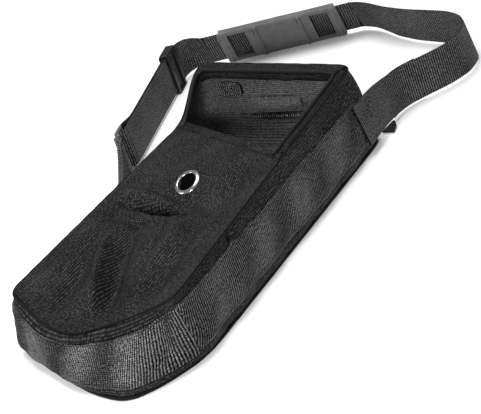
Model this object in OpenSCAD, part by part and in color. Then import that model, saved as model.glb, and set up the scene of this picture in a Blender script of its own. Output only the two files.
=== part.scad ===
// Soft carry case for a small telescope, lying on its back with its shoulder strap looped out beyond the mouth.
// +Y runs from the bottom end to the mouth end, +X to the case's right side, +Z up off the surface it lies on.
// The origin is the middle of the back panel's outer face.

/* [Bag] */
// Width of the front between its two side edges
bag_w = 206; // [160:1:260]
// Length from the bottom corners to the closed mouth end
bag_l = 420; // [340:1:520]
// Height of the right front edge at the mouth end
mouth_depth = 92; // [76:1:120]
// Height of the front edge at the bottom corners
foot_depth = 72; // [60:1:90]
// How far the foot of each side stands out past the front edge
side_lean = 16; // [4:1:28]
// How far the foot of the bottom end runs out past its corners
foot_bulge = 78; // [50:1:100]
// How far the front's bottom edge runs out past its corners
front_out = 30; // [5:1:45]
// How far the front's bottom edge sinks between its corners
foot_sag = 26; // [5:1:36]
// How much higher the left wall is at the hem than the webbing is wide
left_spare = 10; // [6:1:30]
// Extra height of the mouth's left corner
left_rise = 12; // [0:1:20]

/* [Mouth] */
// Distance from the mouth end to the hem at the left edge
hem_drop_left = 60; // [44:1:90]
// Distance from the mouth end to the hem at the right edge
hem_drop_right = 174; // [120:1:210]
// Width of the folded hem on the front panel's free edge
hem_w = 12; // [8:1:20]
// Width of the border strip along the mouth end
border_top_w = 16; // [8:1:24]
// Width of the border strips along the mouth's two sides
border_side_w = 9; // [5:1:14]

/* [Fabric] */
// Thickness of the bag's fabric
fabric_t = 1.6; // [1:0.1:2.4]
// Thickness of the webbing
webbing_t = 2.2; // [1.4:0.1:3]
// Width of the webbing
webbing_w = 50; // [38:1:52]
// Share of a side wall's spare height that lies below the webbing sewn on it
web_share = 0.6; // [0.3:0.05:0.8]
// Radius of the bindings over the seams
binding_r = 2; // [1.4:0.1:2.6]

/* [Front shape] */
// Depth of the fold across the front below the eyelet
fold_depth = 22; // [5:1:26]
// Half length of that fold along the bag
fold_reach = 34; // [25:1:60]
// Distance of that fold from the eyelet, towards the bottom end
fold_back = 36; // [28:1:50]

/* [Eyelet] */
// Diameter of the hole through the eyelet
eyelet_hole_d = 22; // [12:0.5:26]
// Outer diameter of the eyelet's flange
eyelet_flange_d = 32; // [28:0.5:38]
// Thickness of the eyelet's sheet metal
eyelet_metal = 0.8; // [0.5:0.1:1.2]
// Place of the eyelet across the bag
eyelet_x = -15; // [-30:1:30]
// Place of the eyelet along the bag
eyelet_y = 14; // [-30:1:30]

/* [Strap] */
// Length of the moulded shoulder pad
pad_l = 160; // [120:1:176]
// Width of the shoulder pad
pad_w = 57; // [55:1:60]
// Thickness of the pad's outer plate
pad_plate_t = 3.4; // [2.5:0.1:5]
// Length of the slots near the pad's ends
pad_slot_l = 24; // [12:1:30]
// Length of the bars at the pad's ends
pad_bar_l = 13; // [8:1:18]
// Running clearance between the webbing and what slides on it
strap_clear = 0.35; // [0.3:0.05:0.6]
// Lean of the strap's far run towards the bag, in degrees
far_lean = 25; // [0:1:28]
// Length of the slider along the strap
slider_l = 30; // [24:1:36]
// Thickness of the slider's bars
slider_bar = 3.2; // [2.5:0.1:4]

/* [Ring] */
// Diameter of the ring's bars
ring_bar_d = 4; // [3:0.1:4.4]
// Distance between the ring's two long bars
ring_pitch = 18; // [14:0.5:24]
// Swing of the ring each way that its loops leave room for, in degrees
ring_swing = 6; // [2:0.5:8]

/* [Hidden] */

round_fn = 64;
seam_gap = 0.1;
free_gap = 0.3;
side_steps = 14;
end_steps = 22;
front_rows = 22;
tube_sides = 8;
web_out = fabric_t + seam_gap;
foot_web_low = 0.14;
foot_web_high = 0.86;
rim_u = (fabric_t + free_gap) / bag_w;
hem_left_y = bag_l / 2 - hem_drop_left;
hem_right_y = bag_l / 2 - hem_drop_right;
fold_y = eyelet_y - fold_back;

// shares of the foot bulge across the bottom end, from the right corner to the left
foot_curve = [[0, 0], [0.07, 0.42], [0.14, 0.8], [0.22, 1], [0.42, 0.88], [0.62, 0.62], [0.82, 0.32], [1, 0]];
// shares of the front edge's run past its corners, from the right to the left
front_curve = [[0, 0], [0.2, 0.2], [0.4, 0.5], [0.55, 1], [0.8, 0.95], [1, 0.2]];

function lerp(a, b, t) = a + (b - a) * t;
function flat(p) = [p.x, p.y];

// k is the side: 0 right, 1 bottom end, 2 left, 3 mouth end; s runs from 0 to 1 round the bag, v from foot to edge
function end_side(s, v) =
    let (h = 0.5 / end_steps, a = max(0, s - h), b = min(1, s + h))
    let (from = lerp(foot_pt(1, a), flat(edge_pt(1, a)), v), to = lerp(foot_pt(1, b), flat(edge_pt(1, b)), v))
    let (t = (to - from) / norm(to - from)) [-t.y, t.x];
function side_normal(k, s, v) =
    let (side = (k + 4) % 4) side == 1 ? end_side(s, v) : [[1, 0], [0, -1], [-1, 0], [0, 1]][side];
function mitre(a, b) = (a + b) / (1 + a * b);
function wall_dir(k, s, v) =
    s <= 0 ? mitre(side_normal(k - 1, 1, v), side_normal(k, 0, v)) :
    s >= 1 ? mitre(side_normal(k, 1, v), side_normal(k + 1, 0, v)) : side_normal(k, s, v);

function right_z(y) = lerp(foot_depth, mouth_depth, max(0, (y + bag_l / 2) / bag_l));
function left_z(y) = lookup(y, [
    [-bag_l / 2, foot_depth],
    [hem_left_y, webbing_w + left_spare],
    [bag_l / 2, mouth_depth + left_rise]
]);

function foot_pt(k, s) =
    k == 0 ? [bag_w / 2 + side_lean, lerp(bag_l / 2, -bag_l / 2, s)] :
    k == 1 ? [lerp(bag_w / 2 + side_lean, -bag_w / 2 - side_lean, s),
              -bag_l / 2 - foot_bulge * lookup(s, foot_curve)] :
    k == 2 ? [-bag_w / 2 - side_lean, lerp(-bag_l / 2, bag_l / 2, s)] :
             [lerp(-bag_w / 2 - side_lean, bag_w / 2 + side_lean, s), bag_l / 2];

// the front is level over the walls' tops and sinks between them
function dip(u) = sin(180 * min(1, max(0, (u - rim_u) / (1 - 2 * rim_u))));
function edge_y(s) = -bag_l / 2 - front_out * sin(180 * s) * lookup(s, front_curve);
function edge_pt(k, s) =
    k == 0 ? let (y = lerp(bag_l / 2, -bag_l / 2, s)) [bag_w / 2, y, right_z(y)] :
    k == 1 ? [lerp(bag_w / 2, -bag_w / 2, s), edge_y(s), foot_depth - foot_sag * dip(s)] :
    k == 2 ? let (y = lerp(-bag_l / 2, bag_l / 2, s)) [-bag_w / 2, y, left_z(y)] :
             [lerp(-bag_w / 2, bag_w / 2, s), bag_l / 2, lerp(mouth_depth + left_rise, mouth_depth, s)];

// a point of the standing wall: v is 0 at its foot and 1 at the front edge, o the distance outwards
function wall_pt(k, s, v, o) =
    let (p = foot_pt(k, s), q = edge_pt(k, s), d = wall_dir(k, s, v) * o)
    [lerp(p.x, q.x, v) + d.x, lerp(p.y, q.y, v) + d.y, lerp(fabric_t, q.z, v)];

// the stations of a wall: one is where the left edge turns up at the hem, and the bottom end has one inside each side
kink = 1 - hem_drop_left / bag_l;
kink_step = 10;
function spread(i, steps) = i <= 0 ? 0 : i >= steps ? 1 : lerp(rim_u, 1 - rim_u, (i - 1) / (steps - 2));
function station(k, i, steps) =
    k == 1 ? spread(i, steps) :
    k != 2 ? i / steps :
    i <= kink_step ? kink * i / kink_step : lerp(kink, 1, (i - kink_step) / (steps - kink_step));

// the rows of a wall as shares of its height: its foot, the two edges of its webbing, and its top
function wall_len(k, s) = norm(wall_pt(k, s, 1, 0) - wall_pt(k, s, 0, 0));
function web_foot(k) = web_share * (min(wall_len(k, 0), wall_len(k, kink), wall_len(k, 1)) - webbing_w);
function webbing_rows(k, s) =
    k == 3 ? [] :
    k == 1 ? [foot_web_low, foot_web_high] : [web_foot(k), web_foot(k) + webbing_w] / wall_len(k, s);
function wall_rows(k, s) = [0, each webbing_rows(k, s), 1];

// closed solid between two grids of points with the same numbers of rows and columns
module grid_solid(near, far) {
    rows = len(near);
    cols = len(near[0]);
    count = rows * cols;
    points = concat([for (row = near) each row], [for (row = far) each row]);
    faces = concat(
        [for (i = [0 : rows - 2], j = [0 : cols - 2]) let (a = i * cols + j)
            each [[a, a + 1, a + cols], [a + 1, a + cols + 1, a + cols]]],
        [for (i = [0 : rows - 2], j = [0 : cols - 2]) let (a = count + i * cols + j)
            each [[a, a + cols, a + 1], [a + 1, a + cols, a + cols + 1]]],
        [for (j = [0 : cols - 2]) let (a = j)
            each [[a, count + a, a + 1], [a + 1, count + a, count + a + 1]]],
        [for (j = [0 : cols - 2]) let (a = (rows - 1) * cols + j)
            each [[a, a + 1, count + a], [a + 1, count + a + 1, count + a]]],
        [for (i = [0 : rows - 2]) let (a = i * cols)
            each [[a, a + cols, count + a], [a + cols, count + a + cols, count + a]]],
        [for (i = [0 : rows - 2]) let (a = i * cols + cols - 1)
            each [[a, count + a, a + cols], [a + cols, count + a, count + a + cols]]]
    );
    polyhedron(points, faces, convexity = 6);
}

// fabric or webbing on a wall, from o0 to o1 outwards
module wall_strip(k, steps, is_webbing, o0, o1) {
    function rows(s) = is_webbing ? webbing_rows(k, s) : wall_rows(k, s);
    function line(i, o) = let (s = station(k, i, steps)) [for (v = rows(s)) wall_pt(k, s, v, o)];
    near = [for (i = [0 : steps]) line(i, o0)];
    far = [for (i = [0 : steps]) line(i, o1)];
    grid_solid(near, far);
}

module gusset(k, steps) {
    wall_strip(k, steps, false, 0, fabric_t);
}

module wall_webbing(k, steps) {
    wall_strip(k, steps, true, web_out, web_out + webbing_t);
}

// round strip along a closed or open row of points
module tube(points, r, closed) {
    n = len(points);
    last = closed ? n - 1 : n - 2;
    function ahead(i) = closed ? points[(i + 1) % n] : points[min(i + 1, n - 1)];
    function behind(i) = closed ? points[(i + n - 1) % n] : points[max(i - 1, 0)];
    function ring_at(i) =
        let (d = ahead(i) - behind(i), t = d / norm(d))
        let (side = cross(t, [0, 0, 1]), a = side / norm(side), b = cross(a, t))
        [for (j = [0 : tube_sides - 1]) let (q = 360 * (j + 0.5) / tube_sides)
            points[i] + a * r * cos(q) + b * r * sin(q)];
    verts = [for (i = [0 : n - 1]) each ring_at(i)];
    skin = [for (i = [0 : last], j = [0 : tube_sides - 1])
        let (a = i * tube_sides + j, b = i * tube_sides + (j + 1) % tube_sides)
        let (c = ((i + 1) % n) * tube_sides + j, d = ((i + 1) % n) * tube_sides + (j + 1) % tube_sides)
        each [[a, b, c], [b, d, c]]];
    caps = closed ? [] : [
        [for (j = [tube_sides - 1 : -1 : 0]) j],
        [for (j = [0 : tube_sides - 1]) (n - 1) * tube_sides + j]
    ];
    polyhedron(verts, concat(skin, caps), convexity = 8);
}

function round_bag(steps_side, steps_end) = concat(
    [for (i = [0 : steps_side - 1]) [0, i / steps_side]],
    [for (i = [0 : steps_end - 1]) [1, station(1, i, steps_end)]],
    [for (i = [0 : steps_side - 1]) [2, station(2, i, steps_side)]],
    [for (i = [0 : steps_end - 1]) [3, i / steps_end]]
);

// ---- front surface: u runs from 0 at the right edge to 1 at the left, s from 0 at the bottom edge to 1 at the hem

function hem_y(u) = lerp(hem_right_y, hem_left_y, u);
function front_fold(y, u) = fold_depth * exp(-pow((y - fold_y) / fold_reach, 2)) * dip(u);
function front_z(u, y) =
    let (s = (y - edge_y(u)) / (hem_y(u) - edge_y(u)))
    lerp(right_z(y), left_z(y), u) - foot_sag * dip(u) * pow(1 - s, 2) - front_fold(y, u);
function front_pt(u, s, up) =
    let (y = lerp(edge_y(u), hem_y(u), s), rim = s <= 0 ? wall_dir(1, u, 1) * fabric_t : [fabric_t * (1 - 2 * u), 0])
    [lerp(bag_w / 2, -bag_w / 2, u) + rim.x, y + rim.y, front_z(u, y) + seam_gap + up];

module front_sheet(s0, s1, rows, cols, low, high) {
    grid_solid(
        [for (i = [0 : rows]) [for (j = [0 : cols]) front_pt(spread(j, cols), lerp(s0, s1, i / rows), high)]],
        [for (i = [0 : rows]) [for (j = [0 : cols]) front_pt(spread(j, cols), lerp(s0, s1, i / rows), low)]]
    );
}

// the eyelet's place and tilt follow the front under it
eyelet_u = 0.5 - eyelet_x / bag_w;
eyelet_z = front_z(eyelet_u, eyelet_y) + seam_gap + fabric_t;
tilt_reach = eyelet_flange_d / 2;
tilt_u = tilt_reach / bag_w;
rise_y = (front_z(eyelet_u, eyelet_y + tilt_reach) - front_z(eyelet_u, eyelet_y - tilt_reach)) / (2 * tilt_reach);
rise_x = (front_z(eyelet_u - tilt_u, eyelet_y) - front_z(eyelet_u + tilt_u, eyelet_y)) / (2 * tilt_reach);
eyelet_pitch = atan(rise_y);
eyelet_roll = -atan(rise_x * cos(eyelet_pitch));
module at_eyelet() {
    translate([eyelet_x, eyelet_y, eyelet_z]) rotate([eyelet_pitch, 0, 0]) rotate([0, eyelet_roll, 0]) children();
}

// ---- strap: each station is its place in plan and its lean towards the bag

strap_mid_z = pad_w / 2 + 0.3;
strap_start = [bag_w / 2 + side_lean - 2.4, bag_l / 2 + web_out + webbing_t + seam_gap];
pad_mid = [strap_start.x - 244, strap_start.y + 209];
pad_dir = [-0.927, -0.376] / norm([0.927, 0.376]);
pad_straight = 16;
pad_from = pad_mid - pad_dir * (pad_l / 2 + pad_straight);
pad_to = pad_mid + pad_dir * (pad_l / 2 + pad_straight);
run_dir = [0.259, -0.966] / norm([0.259, 0.966]);
run_from = [-bag_w / 2 - 145, bag_l / 2 + 140];
run_l = 200;
run_to = run_from + run_dir * run_l;
slider_at = 14;
slider_travel = 60;
strap_path = [
    [strap_start.x, strap_start.y, 0],
    [strap_start.x - 0.6, strap_start.y + 30, 0],
    [strap_start.x + 3.4, strap_start.y + 56, 0],
    [strap_start.x + 20, strap_start.y + 80, 0],
    [strap_start.x + 39, strap_start.y + 104, 0],
    [strap_start.x + 51, strap_start.y + 132, 2],
    [strap_start.x + 48, strap_start.y + 162, 6],
    [strap_start.x + 32, strap_start.y + 184, 8],
    [strap_start.x + 8, strap_start.y + 197, 9],
    [strap_start.x - 22, strap_start.y + 203, 10],
    [strap_start.x - 56, strap_start.y + 210, 12],
    [strap_start.x - 90, strap_start.y + 222, 15],
    [pad_from.x + 34, pad_from.y - 9, 19],
    [pad_from.x + 15, pad_from.y - 1, 23],
    [pad_from.x, pad_from.y, far_lean],
    [pad_to.x, pad_to.y, far_lean],
    [pad_to.x - 16, pad_to.y - 1, 20],
    [pad_to.x - 27, pad_to.y - 9, 12],
    [run_from.x - 2, run_from.y + 14, 4],
    [run_from.x, run_from.y, 0],
    [run_to.x, run_to.y, 0]
];

// solid ribbon standing along a path, half_w to each side of its middle, from n0 to n1 across
module ribbon(path, mid_z, half_w, n0, n1) {
    n = len(path);
    function dir2(i) =
        let (a = path[max(i - 1, 0)], b = path[min(i + 1, n - 1)], d = [b.x - a.x, b.y - a.y]) d / norm(d);
    function rows(i) =
        let (t = dir2(i), lean = path[i][2])
        let (across = [-t.y * cos(lean), t.x * cos(lean), -sin(lean)], up = [-t.y * sin(lean), t.x * sin(lean), cos(lean)])
        [for (n_off = [n0, n1], w_off = [-half_w, half_w])
            [path[i].x, path[i].y, mid_z] + across * n_off + up * w_off];
    grid = [for (i = [0 : n - 1]) rows(i)];
    grid_solid([for (r = grid) [r[0], r[1]]], [for (r = grid) [r[2], r[3]]]);
}

// puts what is drawn along +X with its width on Z at a place on the strap
module on_strap(place, dir, lean) {
    translate([place.x, place.y, strap_mid_z]) rotate([0, 0, atan2(dir.y, dir.x)]) rotate([-lean, 0, 0]) children();
}

// upright ribbon along a row of places [along, across] in the strap's own frame
module local_ribbon(path, half_w) {
    n = len(path);
    function dir2(i) = let (d = path[min(i + 1, n - 1)] - path[max(i - 1, 0)]) d / norm(d);
    function pts(i, side) = let (t = dir2(i)) path[i] + [-t.y, t.x] * side * webbing_t / 2;
    grid_solid(
        [for (i = [0 : n - 1]) [for (w = [-half_w, half_w]) [pts(i, 1).x, pts(i, 1).y, w]]],
        [for (i = [0 : n - 1]) [for (w = [-half_w, half_w]) [pts(i, -1).x, pts(i, -1).y, w]]]
    );
}

slack = (ring_pitch * sin(ring_swing)) + free_gap;
loop_r = ring_bar_d / 2 + slack;
anchor_r = ring_bar_d / 2 + free_gap;
loop_n = webbing_t / 2 + loop_r;
loop_at = run_l + loop_r + free_gap;
anchor_at = loop_at + ring_pitch;
layer_n = webbing_t + free_gap + seam_gap;
second_from = slider_at + 2;

// ---- pieces

module back_panel() {
    outline = [for (q = round_bag(1, end_steps)) let (p = foot_pt(q[0], q[1])) p + wall_dir(q[0], q[1], 0) * fabric_t];
    color([0.05, 0.05, 0.05]) linear_extrude(fabric_t) polygon(outline);
}

module front_panel() {
    color([0.1, 0.1, 0.1]) {
        difference() {
            front_sheet(0, 1, front_rows, end_steps, 0, fabric_t);
            at_eyelet() cylinder(h = 60, d = eyelet_flange_d + 3, center = true, $fn = round_fn);
        }
        at_eyelet() difference() {
            translate([0, 0, -fabric_t]) cylinder(h = fabric_t, d = eyelet_flange_d + 3, $fn = round_fn);
            cylinder(h = 12, d = eyelet_hole_d + 2 * eyelet_metal + 0.1, center = true, $fn = round_fn);
        }
    }
}

module front_hem() {
    share = hem_w / (bag_l - (hem_drop_left + hem_drop_right) / 2);
    color([0.12, 0.12, 0.12]) front_sheet(1 - share, 1, 2, end_steps, fabric_t + seam_gap, 2 * fabric_t);
}

module gusset_right() {
    color([0.1, 0.1, 0.1]) gusset(0, side_steps);
}

module gusset_bottom() {
    color([0.08, 0.08, 0.08]) gusset(1, end_steps);
}

module gusset_left() {
    color([0.1, 0.1, 0.1]) gusset(2, side_steps);
}

module gusset_top() {
    color([0.08, 0.08, 0.08]) gusset(3, end_steps);
}

module webbing_right() {
    color([0.06, 0.06, 0.06]) wall_webbing(0, side_steps);
}

module webbing_bottom() {
    color([0.06, 0.06, 0.06]) wall_webbing(1, end_steps);
}

module webbing_left() {
    color([0.06, 0.06, 0.06]) wall_webbing(2, side_steps);
}

module front_binding() {
    reach = fabric_t + binding_r + free_gap;
    color([0.04, 0.04, 0.04]) tube(
        [for (q = round_bag(side_steps, end_steps))
            let (p = wall_pt(q[0], q[1], 1, reach)) [p.x, p.y, p.z + seam_gap + binding_r]],
        binding_r, true);
}

module back_binding() {
    reach = fabric_t + binding_r + free_gap;
    color([0.04, 0.04, 0.04]) tube(
        [for (q = round_bag(side_steps, end_steps)) let (p = wall_pt(q[0], q[1], 0, reach)) [p.x, p.y, binding_r + 0.2]],
        binding_r, true);
}

// flat border strips round the mouth window, lying on the tops of the walls
module border(rows, w_from, w_to) {
    function put(row, inward, up) = [row[0] + row[3] * inward, row[1] + row[4] * inward, row[2] + seam_gap + up];
    grid_solid(
        [for (r = rows) [put(r, w_from, fabric_t), put(r, w_to, fabric_t)]],
        [for (r = rows) [put(r, w_from, 0), put(r, w_to, 0)]]
    );
}

border_steps = 8;
border_top_y = bag_l / 2 - border_top_w;

module mouth_border_left() {
    from_y = hem_left_y + free_gap;
    rows = [for (i = [0 : border_steps]) let (y = lerp(border_top_y - free_gap, from_y, i / border_steps))
        [-bag_w / 2, y, left_z(y), 1, 0]];
    color([0.09, 0.09, 0.09]) border(rows, -fabric_t, border_side_w);
}

module mouth_border_top() {
    rows = [for (i = [0 : end_steps]) let (p = edge_pt(3, 1 - i / end_steps))
        [p.x + fabric_t * (1 - 2 * i / end_steps), p.y, p.z, 0, -1]];
    color([0.11, 0.11, 0.11]) border(rows, -fabric_t, border_top_w);
}

module mouth_border_right() {
    from_y = hem_y(border_side_w / bag_w) + free_gap;
    rows = [for (i = [0 : border_steps]) let (y = lerp(from_y, border_top_y - free_gap, i / border_steps))
        [bag_w / 2, y, right_z(y), -1, 0]];
    color([0.09, 0.09, 0.09]) border(rows, -fabric_t, border_side_w);
}

module mouth_binding() {
    x_in = bag_w / 2 - border_side_w - binding_r - seam_gap;
    y_in = border_top_y - binding_r - seam_gap;
    end_gap = 1.8;
    right_end = hem_y(0.5 - x_in / bag_w) + end_gap;
    left_end = hem_y(0.5 + x_in / bag_w) + end_gap;
    right = [for (i = [0 : border_steps]) let (y = lerp(right_end, y_in, i / border_steps))
        [x_in, y, right_z(y) + fabric_t / 2]];
    left = [for (i = [0 : border_steps]) let (y = lerp(y_in, left_end, i / border_steps))
        [-x_in, y, left_z(y) + fabric_t / 2]];
    color([0.04, 0.04, 0.04]) tube(concat(right, left), binding_r, false);
}

// what is sewn on the inner face of the mouth end's wall: each lies below the one before it
patch_x = -bag_w / 2 + 19;
patch_w = 32;
patch_h = 22;
band_x = patch_x + patch_w + 4;
band_w = 72;
band_h = 18;
strip_x = patch_x + 18;
strip_l = 106;
strip_h = 8;

module on_mouth_wall(x, below, w, t, h) {
    translate([x, bag_l / 2 - seam_gap - t, mouth_depth - below - h]) cube([w, t, h]);
}

module inner_patch() {
    color([0.08, 0.08, 0.08]) on_mouth_wall(patch_x, 12, patch_w, webbing_t, patch_h);
}

module inner_band() {
    color([0.14, 0.14, 0.14]) on_mouth_wall(band_x, 32, band_w, fabric_t, band_h);
}

module inner_cross_strip() {
    color([0.1, 0.1, 0.1]) on_mouth_wall(strip_x, 54, strip_l, webbing_t, strip_h);
}

module corner_tab() {
    out = fabric_t + 2 * binding_r + 2 * free_gap;
    color([0.05, 0.05, 0.05]) translate([bag_w / 2 + side_lean - 7, bag_l / 2 + out, 1])
        linear_extrude(fabric_t) polygon([[0, 0], [16, 0], [14, 11], [7, 18]]);
}

module eyelet() {
    r = eyelet_hole_d / 2;
    flange = eyelet_flange_d / 2;
    m = eyelet_metal;
    color("silver") at_eyelet() rotate_extrude($fn = round_fn) polygon([
        [r, -fabric_t - 2 * m], [r + m, -fabric_t - 2 * m], [r + m, 0.05], [flange, 0.05],
        [flange, m], [flange - 1, 1.8 * m], [r + 2, 2.2 * m], [r, 1.2 * m]
    ]);
}

module eyelet_washer() {
    r = eyelet_hole_d / 2 + eyelet_metal + 0.05;
    color("silver") at_eyelet() translate([0, 0, -fabric_t - 0.05 - eyelet_metal]) difference() {
        cylinder(h = eyelet_metal, d = eyelet_flange_d - 2, $fn = round_fn);
        translate([0, 0, -1]) cylinder(h = 4, r = r, $fn = round_fn);
    }
}

module strap() {
    color([0.05, 0.05, 0.05]) ribbon(strap_path, strap_mid_z, webbing_w / 2, -webbing_t / 2, webbing_t / 2);
}

module strap_sewn_end() {
    n0 = webbing_t / 2 + seam_gap;
    color([0.06, 0.06, 0.06]) ribbon([for (i = [1 : 3]) strap_path[i]], strap_mid_z, webbing_w / 2, n0, n0 + webbing_t);
}

module strap_end_loop() {
    arc_steps = 8;
    start_n = -layer_n;
    path = concat(
        [[second_from, start_n], [loop_at - 46, start_n], [loop_at - 30, start_n - 0.6],
         [loop_at - 14, -2 * loop_n + 1.4]],
        [for (i = [0 : arc_steps]) let (q = -90 + 180 * i / arc_steps)
            [loop_at + (loop_r + webbing_t / 2) * cos(q), -loop_n + (loop_r + webbing_t / 2) * sin(q)]],
        [[run_l + seam_gap, 0]]
    );
    color([0.05, 0.05, 0.05]) on_strap(run_from, run_dir, 0) {
        local_ribbon(path, webbing_w / 2);
    }
}

module slider() {
    rail = (pad_w - webbing_w) / 2 - strap_clear;
    front_n = webbing_t / 2 + strap_clear;
    back_n = -layer_n - webbing_t / 2 - strap_clear;
    color([0.06, 0.06, 0.06]) on_strap(run_from + run_dir * slider_at, run_dir, 0) {
        for (x = [-slider_l / 2, slider_l / 2 - 5])
            translate([x, front_n, -pad_w / 2]) cube([5, slider_bar, pad_w]);
        translate([-3, back_n - slider_bar, -pad_w / 2]) cube([6, slider_bar, pad_w]);
        for (side = [-1, 1]) translate([-slider_l / 2, back_n - slider_bar, side < 0 ? -pad_w / 2 : pad_w / 2 - rail])
            cube([slider_l, front_n - back_n + 2 * slider_bar, rail]);
    }
}

module slider_loop() {
    back_n = -layer_n - webbing_t / 2 - strap_clear - slider_bar;
    color([0.05, 0.05, 0.05]) on_strap(run_from + run_dir * slider_at, run_dir, 0)
        translate([-9, back_n - seam_gap - webbing_t, -webbing_w / 2]) cube([24, webbing_t, webbing_w]);
}

module ring() {
    half = webbing_w / 2 + strap_clear + ring_bar_d / 2;
    color([0.3, 0.3, 0.3]) on_strap(run_from + run_dir * loop_at, run_dir, 0) translate([0, -loop_n, 0]) {
        for (x = [0, ring_pitch]) translate([x, 0, -half]) cylinder(h = 2 * half, d = ring_bar_d, $fn = round_fn);
        for (z = [-half, half]) translate([0, 0, z]) {
            rotate([0, 90, 0]) cylinder(h = ring_pitch, d = ring_bar_d, $fn = round_fn);
            for (x = [0, ring_pitch]) translate([x, 0, 0]) sphere(d = ring_bar_d, $fn = round_fn);
        }
    }
}

anchor_y = 24;
anchor_foot_l = 40;
anchor_centre = run_from + run_dir * anchor_at - [-run_dir.y, run_dir.x] * loop_n;
anchor_goal = [-bag_w / 2 - side_lean - web_out - webbing_t, anchor_y];
anchor_aim = (anchor_goal - anchor_centre) / norm(anchor_goal - anchor_centre);
anchor_half_w = webbing_w / 2 - 3;

module at_anchor() {
    translate([anchor_centre.x, anchor_centre.y, strap_mid_z])
        rotate([0, 0, atan2(anchor_aim.y, anchor_aim.x)]) children();
}

// webbing folded round the ring's bar, and its foot sewn to the webbing on the left side
module anchor_webbing() {
    reach = norm(anchor_goal - anchor_centre) - webbing_t;
    thick = 2 * webbing_t;
    foot_from = web_out + webbing_t + seam_gap;
    foot_to = foot_from + 3 * thick;
    function row(y, o) = [for (z = [10, 46]) let (s = (y + bag_l / 2) / bag_l)
        wall_pt(2, s, z / edge_pt(2, s).z, o)];
    color([0.05, 0.05, 0.05]) {
        at_anchor() difference() {
            union() {
                cylinder(h = 2 * anchor_half_w, r = anchor_r + webbing_t, center = true, $fn = round_fn);
                translate([anchor_r, -thick / 2, -anchor_half_w])
                    cube([reach - anchor_r, thick, 2 * anchor_half_w]);
            }
            cylinder(h = 4 * anchor_half_w, r = anchor_r, center = true, $fn = round_fn);
        }
        grid_solid(
            [for (y = [anchor_y - anchor_foot_l / 2, anchor_y + anchor_foot_l / 2]) row(y, foot_from)],
            [for (y = [anchor_y - 4, anchor_y + 4]) row(y, foot_to)]
        );
    }
}

module stitch_row(from, to, count, r, l) {
    step = (to - from) / max(count - 1, 1);
    for (i = [0 : count - 1]) translate(from + step * i) cube([l, r, r], center = true);
}

// four lines of stitches in a box on the doubled webbing
module join_stitches() {
    a = strap_path[2];
    b = strap_path[3];
    d = [b.x - a.x, b.y - a.y] / norm([b.x - a.x, b.y - a.y]);
    n_out = 1.5 * webbing_t + 2 * seam_gap + 0.4;
    color([0.2, 0.2, 0.2]) on_strap([a.x, a.y] + d * 15, d, 0)
        for (z = [-18, -6, 6, 18]) stitch_row([-8, n_out, z], [8, n_out, z], 5, 0.5, 2.6);
}

module anchor_stitches() {
    out = webbing_t + seam_gap + 0.4;
    color([0.2, 0.2, 0.2]) at_anchor()
        for (z = [-16, 0, 16]) stitch_row([20, -out, z], [38, -out, z], 5, 0.5, 2.6);
}

module shoulder_pad() {
    half_w = pad_w / 2;
    rail = half_w - webbing_w / 2 - strap_clear;
    front_n = webbing_t / 2 + strap_clear;
    slot_h = webbing_w - 4;
    keeper_t = 1.8;
    slot_from = pad_l / 2 - pad_bar_l - pad_slot_l;
    color([0.25, 0.25, 0.25]) on_strap(pad_mid, pad_dir, far_lean) {
        translate([0, front_n, 0]) difference() {
            rotate([-90, 0, 0]) linear_extrude(pad_plate_t) offset(r = 3, $fn = 32)
                square([pad_l - 6, pad_w - 6], center = true);
            for (side = [-1, 1]) translate([side * (slot_from + pad_slot_l / 2), pad_plate_t / 2, 0])
                cube([pad_slot_l, pad_plate_t + 2, slot_h], center = true);
        }
        for (side = [-1, 1]) translate([-pad_l / 2 + 3, -front_n - keeper_t, side < 0 ? -half_w : half_w - rail])
            cube([pad_l - 6, 2 * front_n + keeper_t, rail]);
        for (x = [-pad_l / 2 + 3, -10, pad_l / 2 - 3 - pad_bar_l])
            translate([x, -front_n - keeper_t, -half_w]) cube([pad_bar_l, keeper_t, pad_w]);
    }
}

back_panel();
front_panel();
front_hem();
gusset_right();
gusset_bottom();
gusset_left();
gusset_top();
webbing_right();
webbing_bottom();
webbing_left();
front_binding();
back_binding();
mouth_binding();
mouth_border_left();
mouth_border_top();
mouth_border_right();
inner_patch();
inner_band();
inner_cross_strip();
corner_tab();
eyelet();
eyelet_washer();
strap();
strap_sewn_end();
strap_end_loop();
anchor_webbing();
join_stitches();
anchor_stitches();
shoulder_pad();
slider();
slider_loop();
ring();
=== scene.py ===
"""Looks of a soft telescope carry case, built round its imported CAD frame.

Sizes are in millimetres in the functions and become metres when a mesh is made. The frame is the CAD's own:
+Y from the bottom end to the mouth end, +X to the case's right side, +Z up off the surface it lies on.
"""

import math

import bpy
import numpy as np
from mathutils import Matrix, Vector


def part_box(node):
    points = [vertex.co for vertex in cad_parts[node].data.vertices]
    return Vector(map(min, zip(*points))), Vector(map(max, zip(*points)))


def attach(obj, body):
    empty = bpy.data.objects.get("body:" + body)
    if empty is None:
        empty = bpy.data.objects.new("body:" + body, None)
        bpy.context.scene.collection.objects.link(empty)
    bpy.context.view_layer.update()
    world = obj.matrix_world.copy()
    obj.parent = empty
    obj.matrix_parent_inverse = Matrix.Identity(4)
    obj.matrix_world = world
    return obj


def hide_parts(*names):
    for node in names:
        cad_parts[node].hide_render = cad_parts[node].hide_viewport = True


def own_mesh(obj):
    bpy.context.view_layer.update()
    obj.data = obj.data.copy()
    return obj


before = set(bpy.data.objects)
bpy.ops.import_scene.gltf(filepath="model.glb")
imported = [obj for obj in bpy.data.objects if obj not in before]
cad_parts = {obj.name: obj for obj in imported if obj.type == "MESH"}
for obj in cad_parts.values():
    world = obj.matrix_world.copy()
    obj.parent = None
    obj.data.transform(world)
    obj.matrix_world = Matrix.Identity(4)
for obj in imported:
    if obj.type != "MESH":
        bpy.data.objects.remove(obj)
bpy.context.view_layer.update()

MM = 0.001


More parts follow.
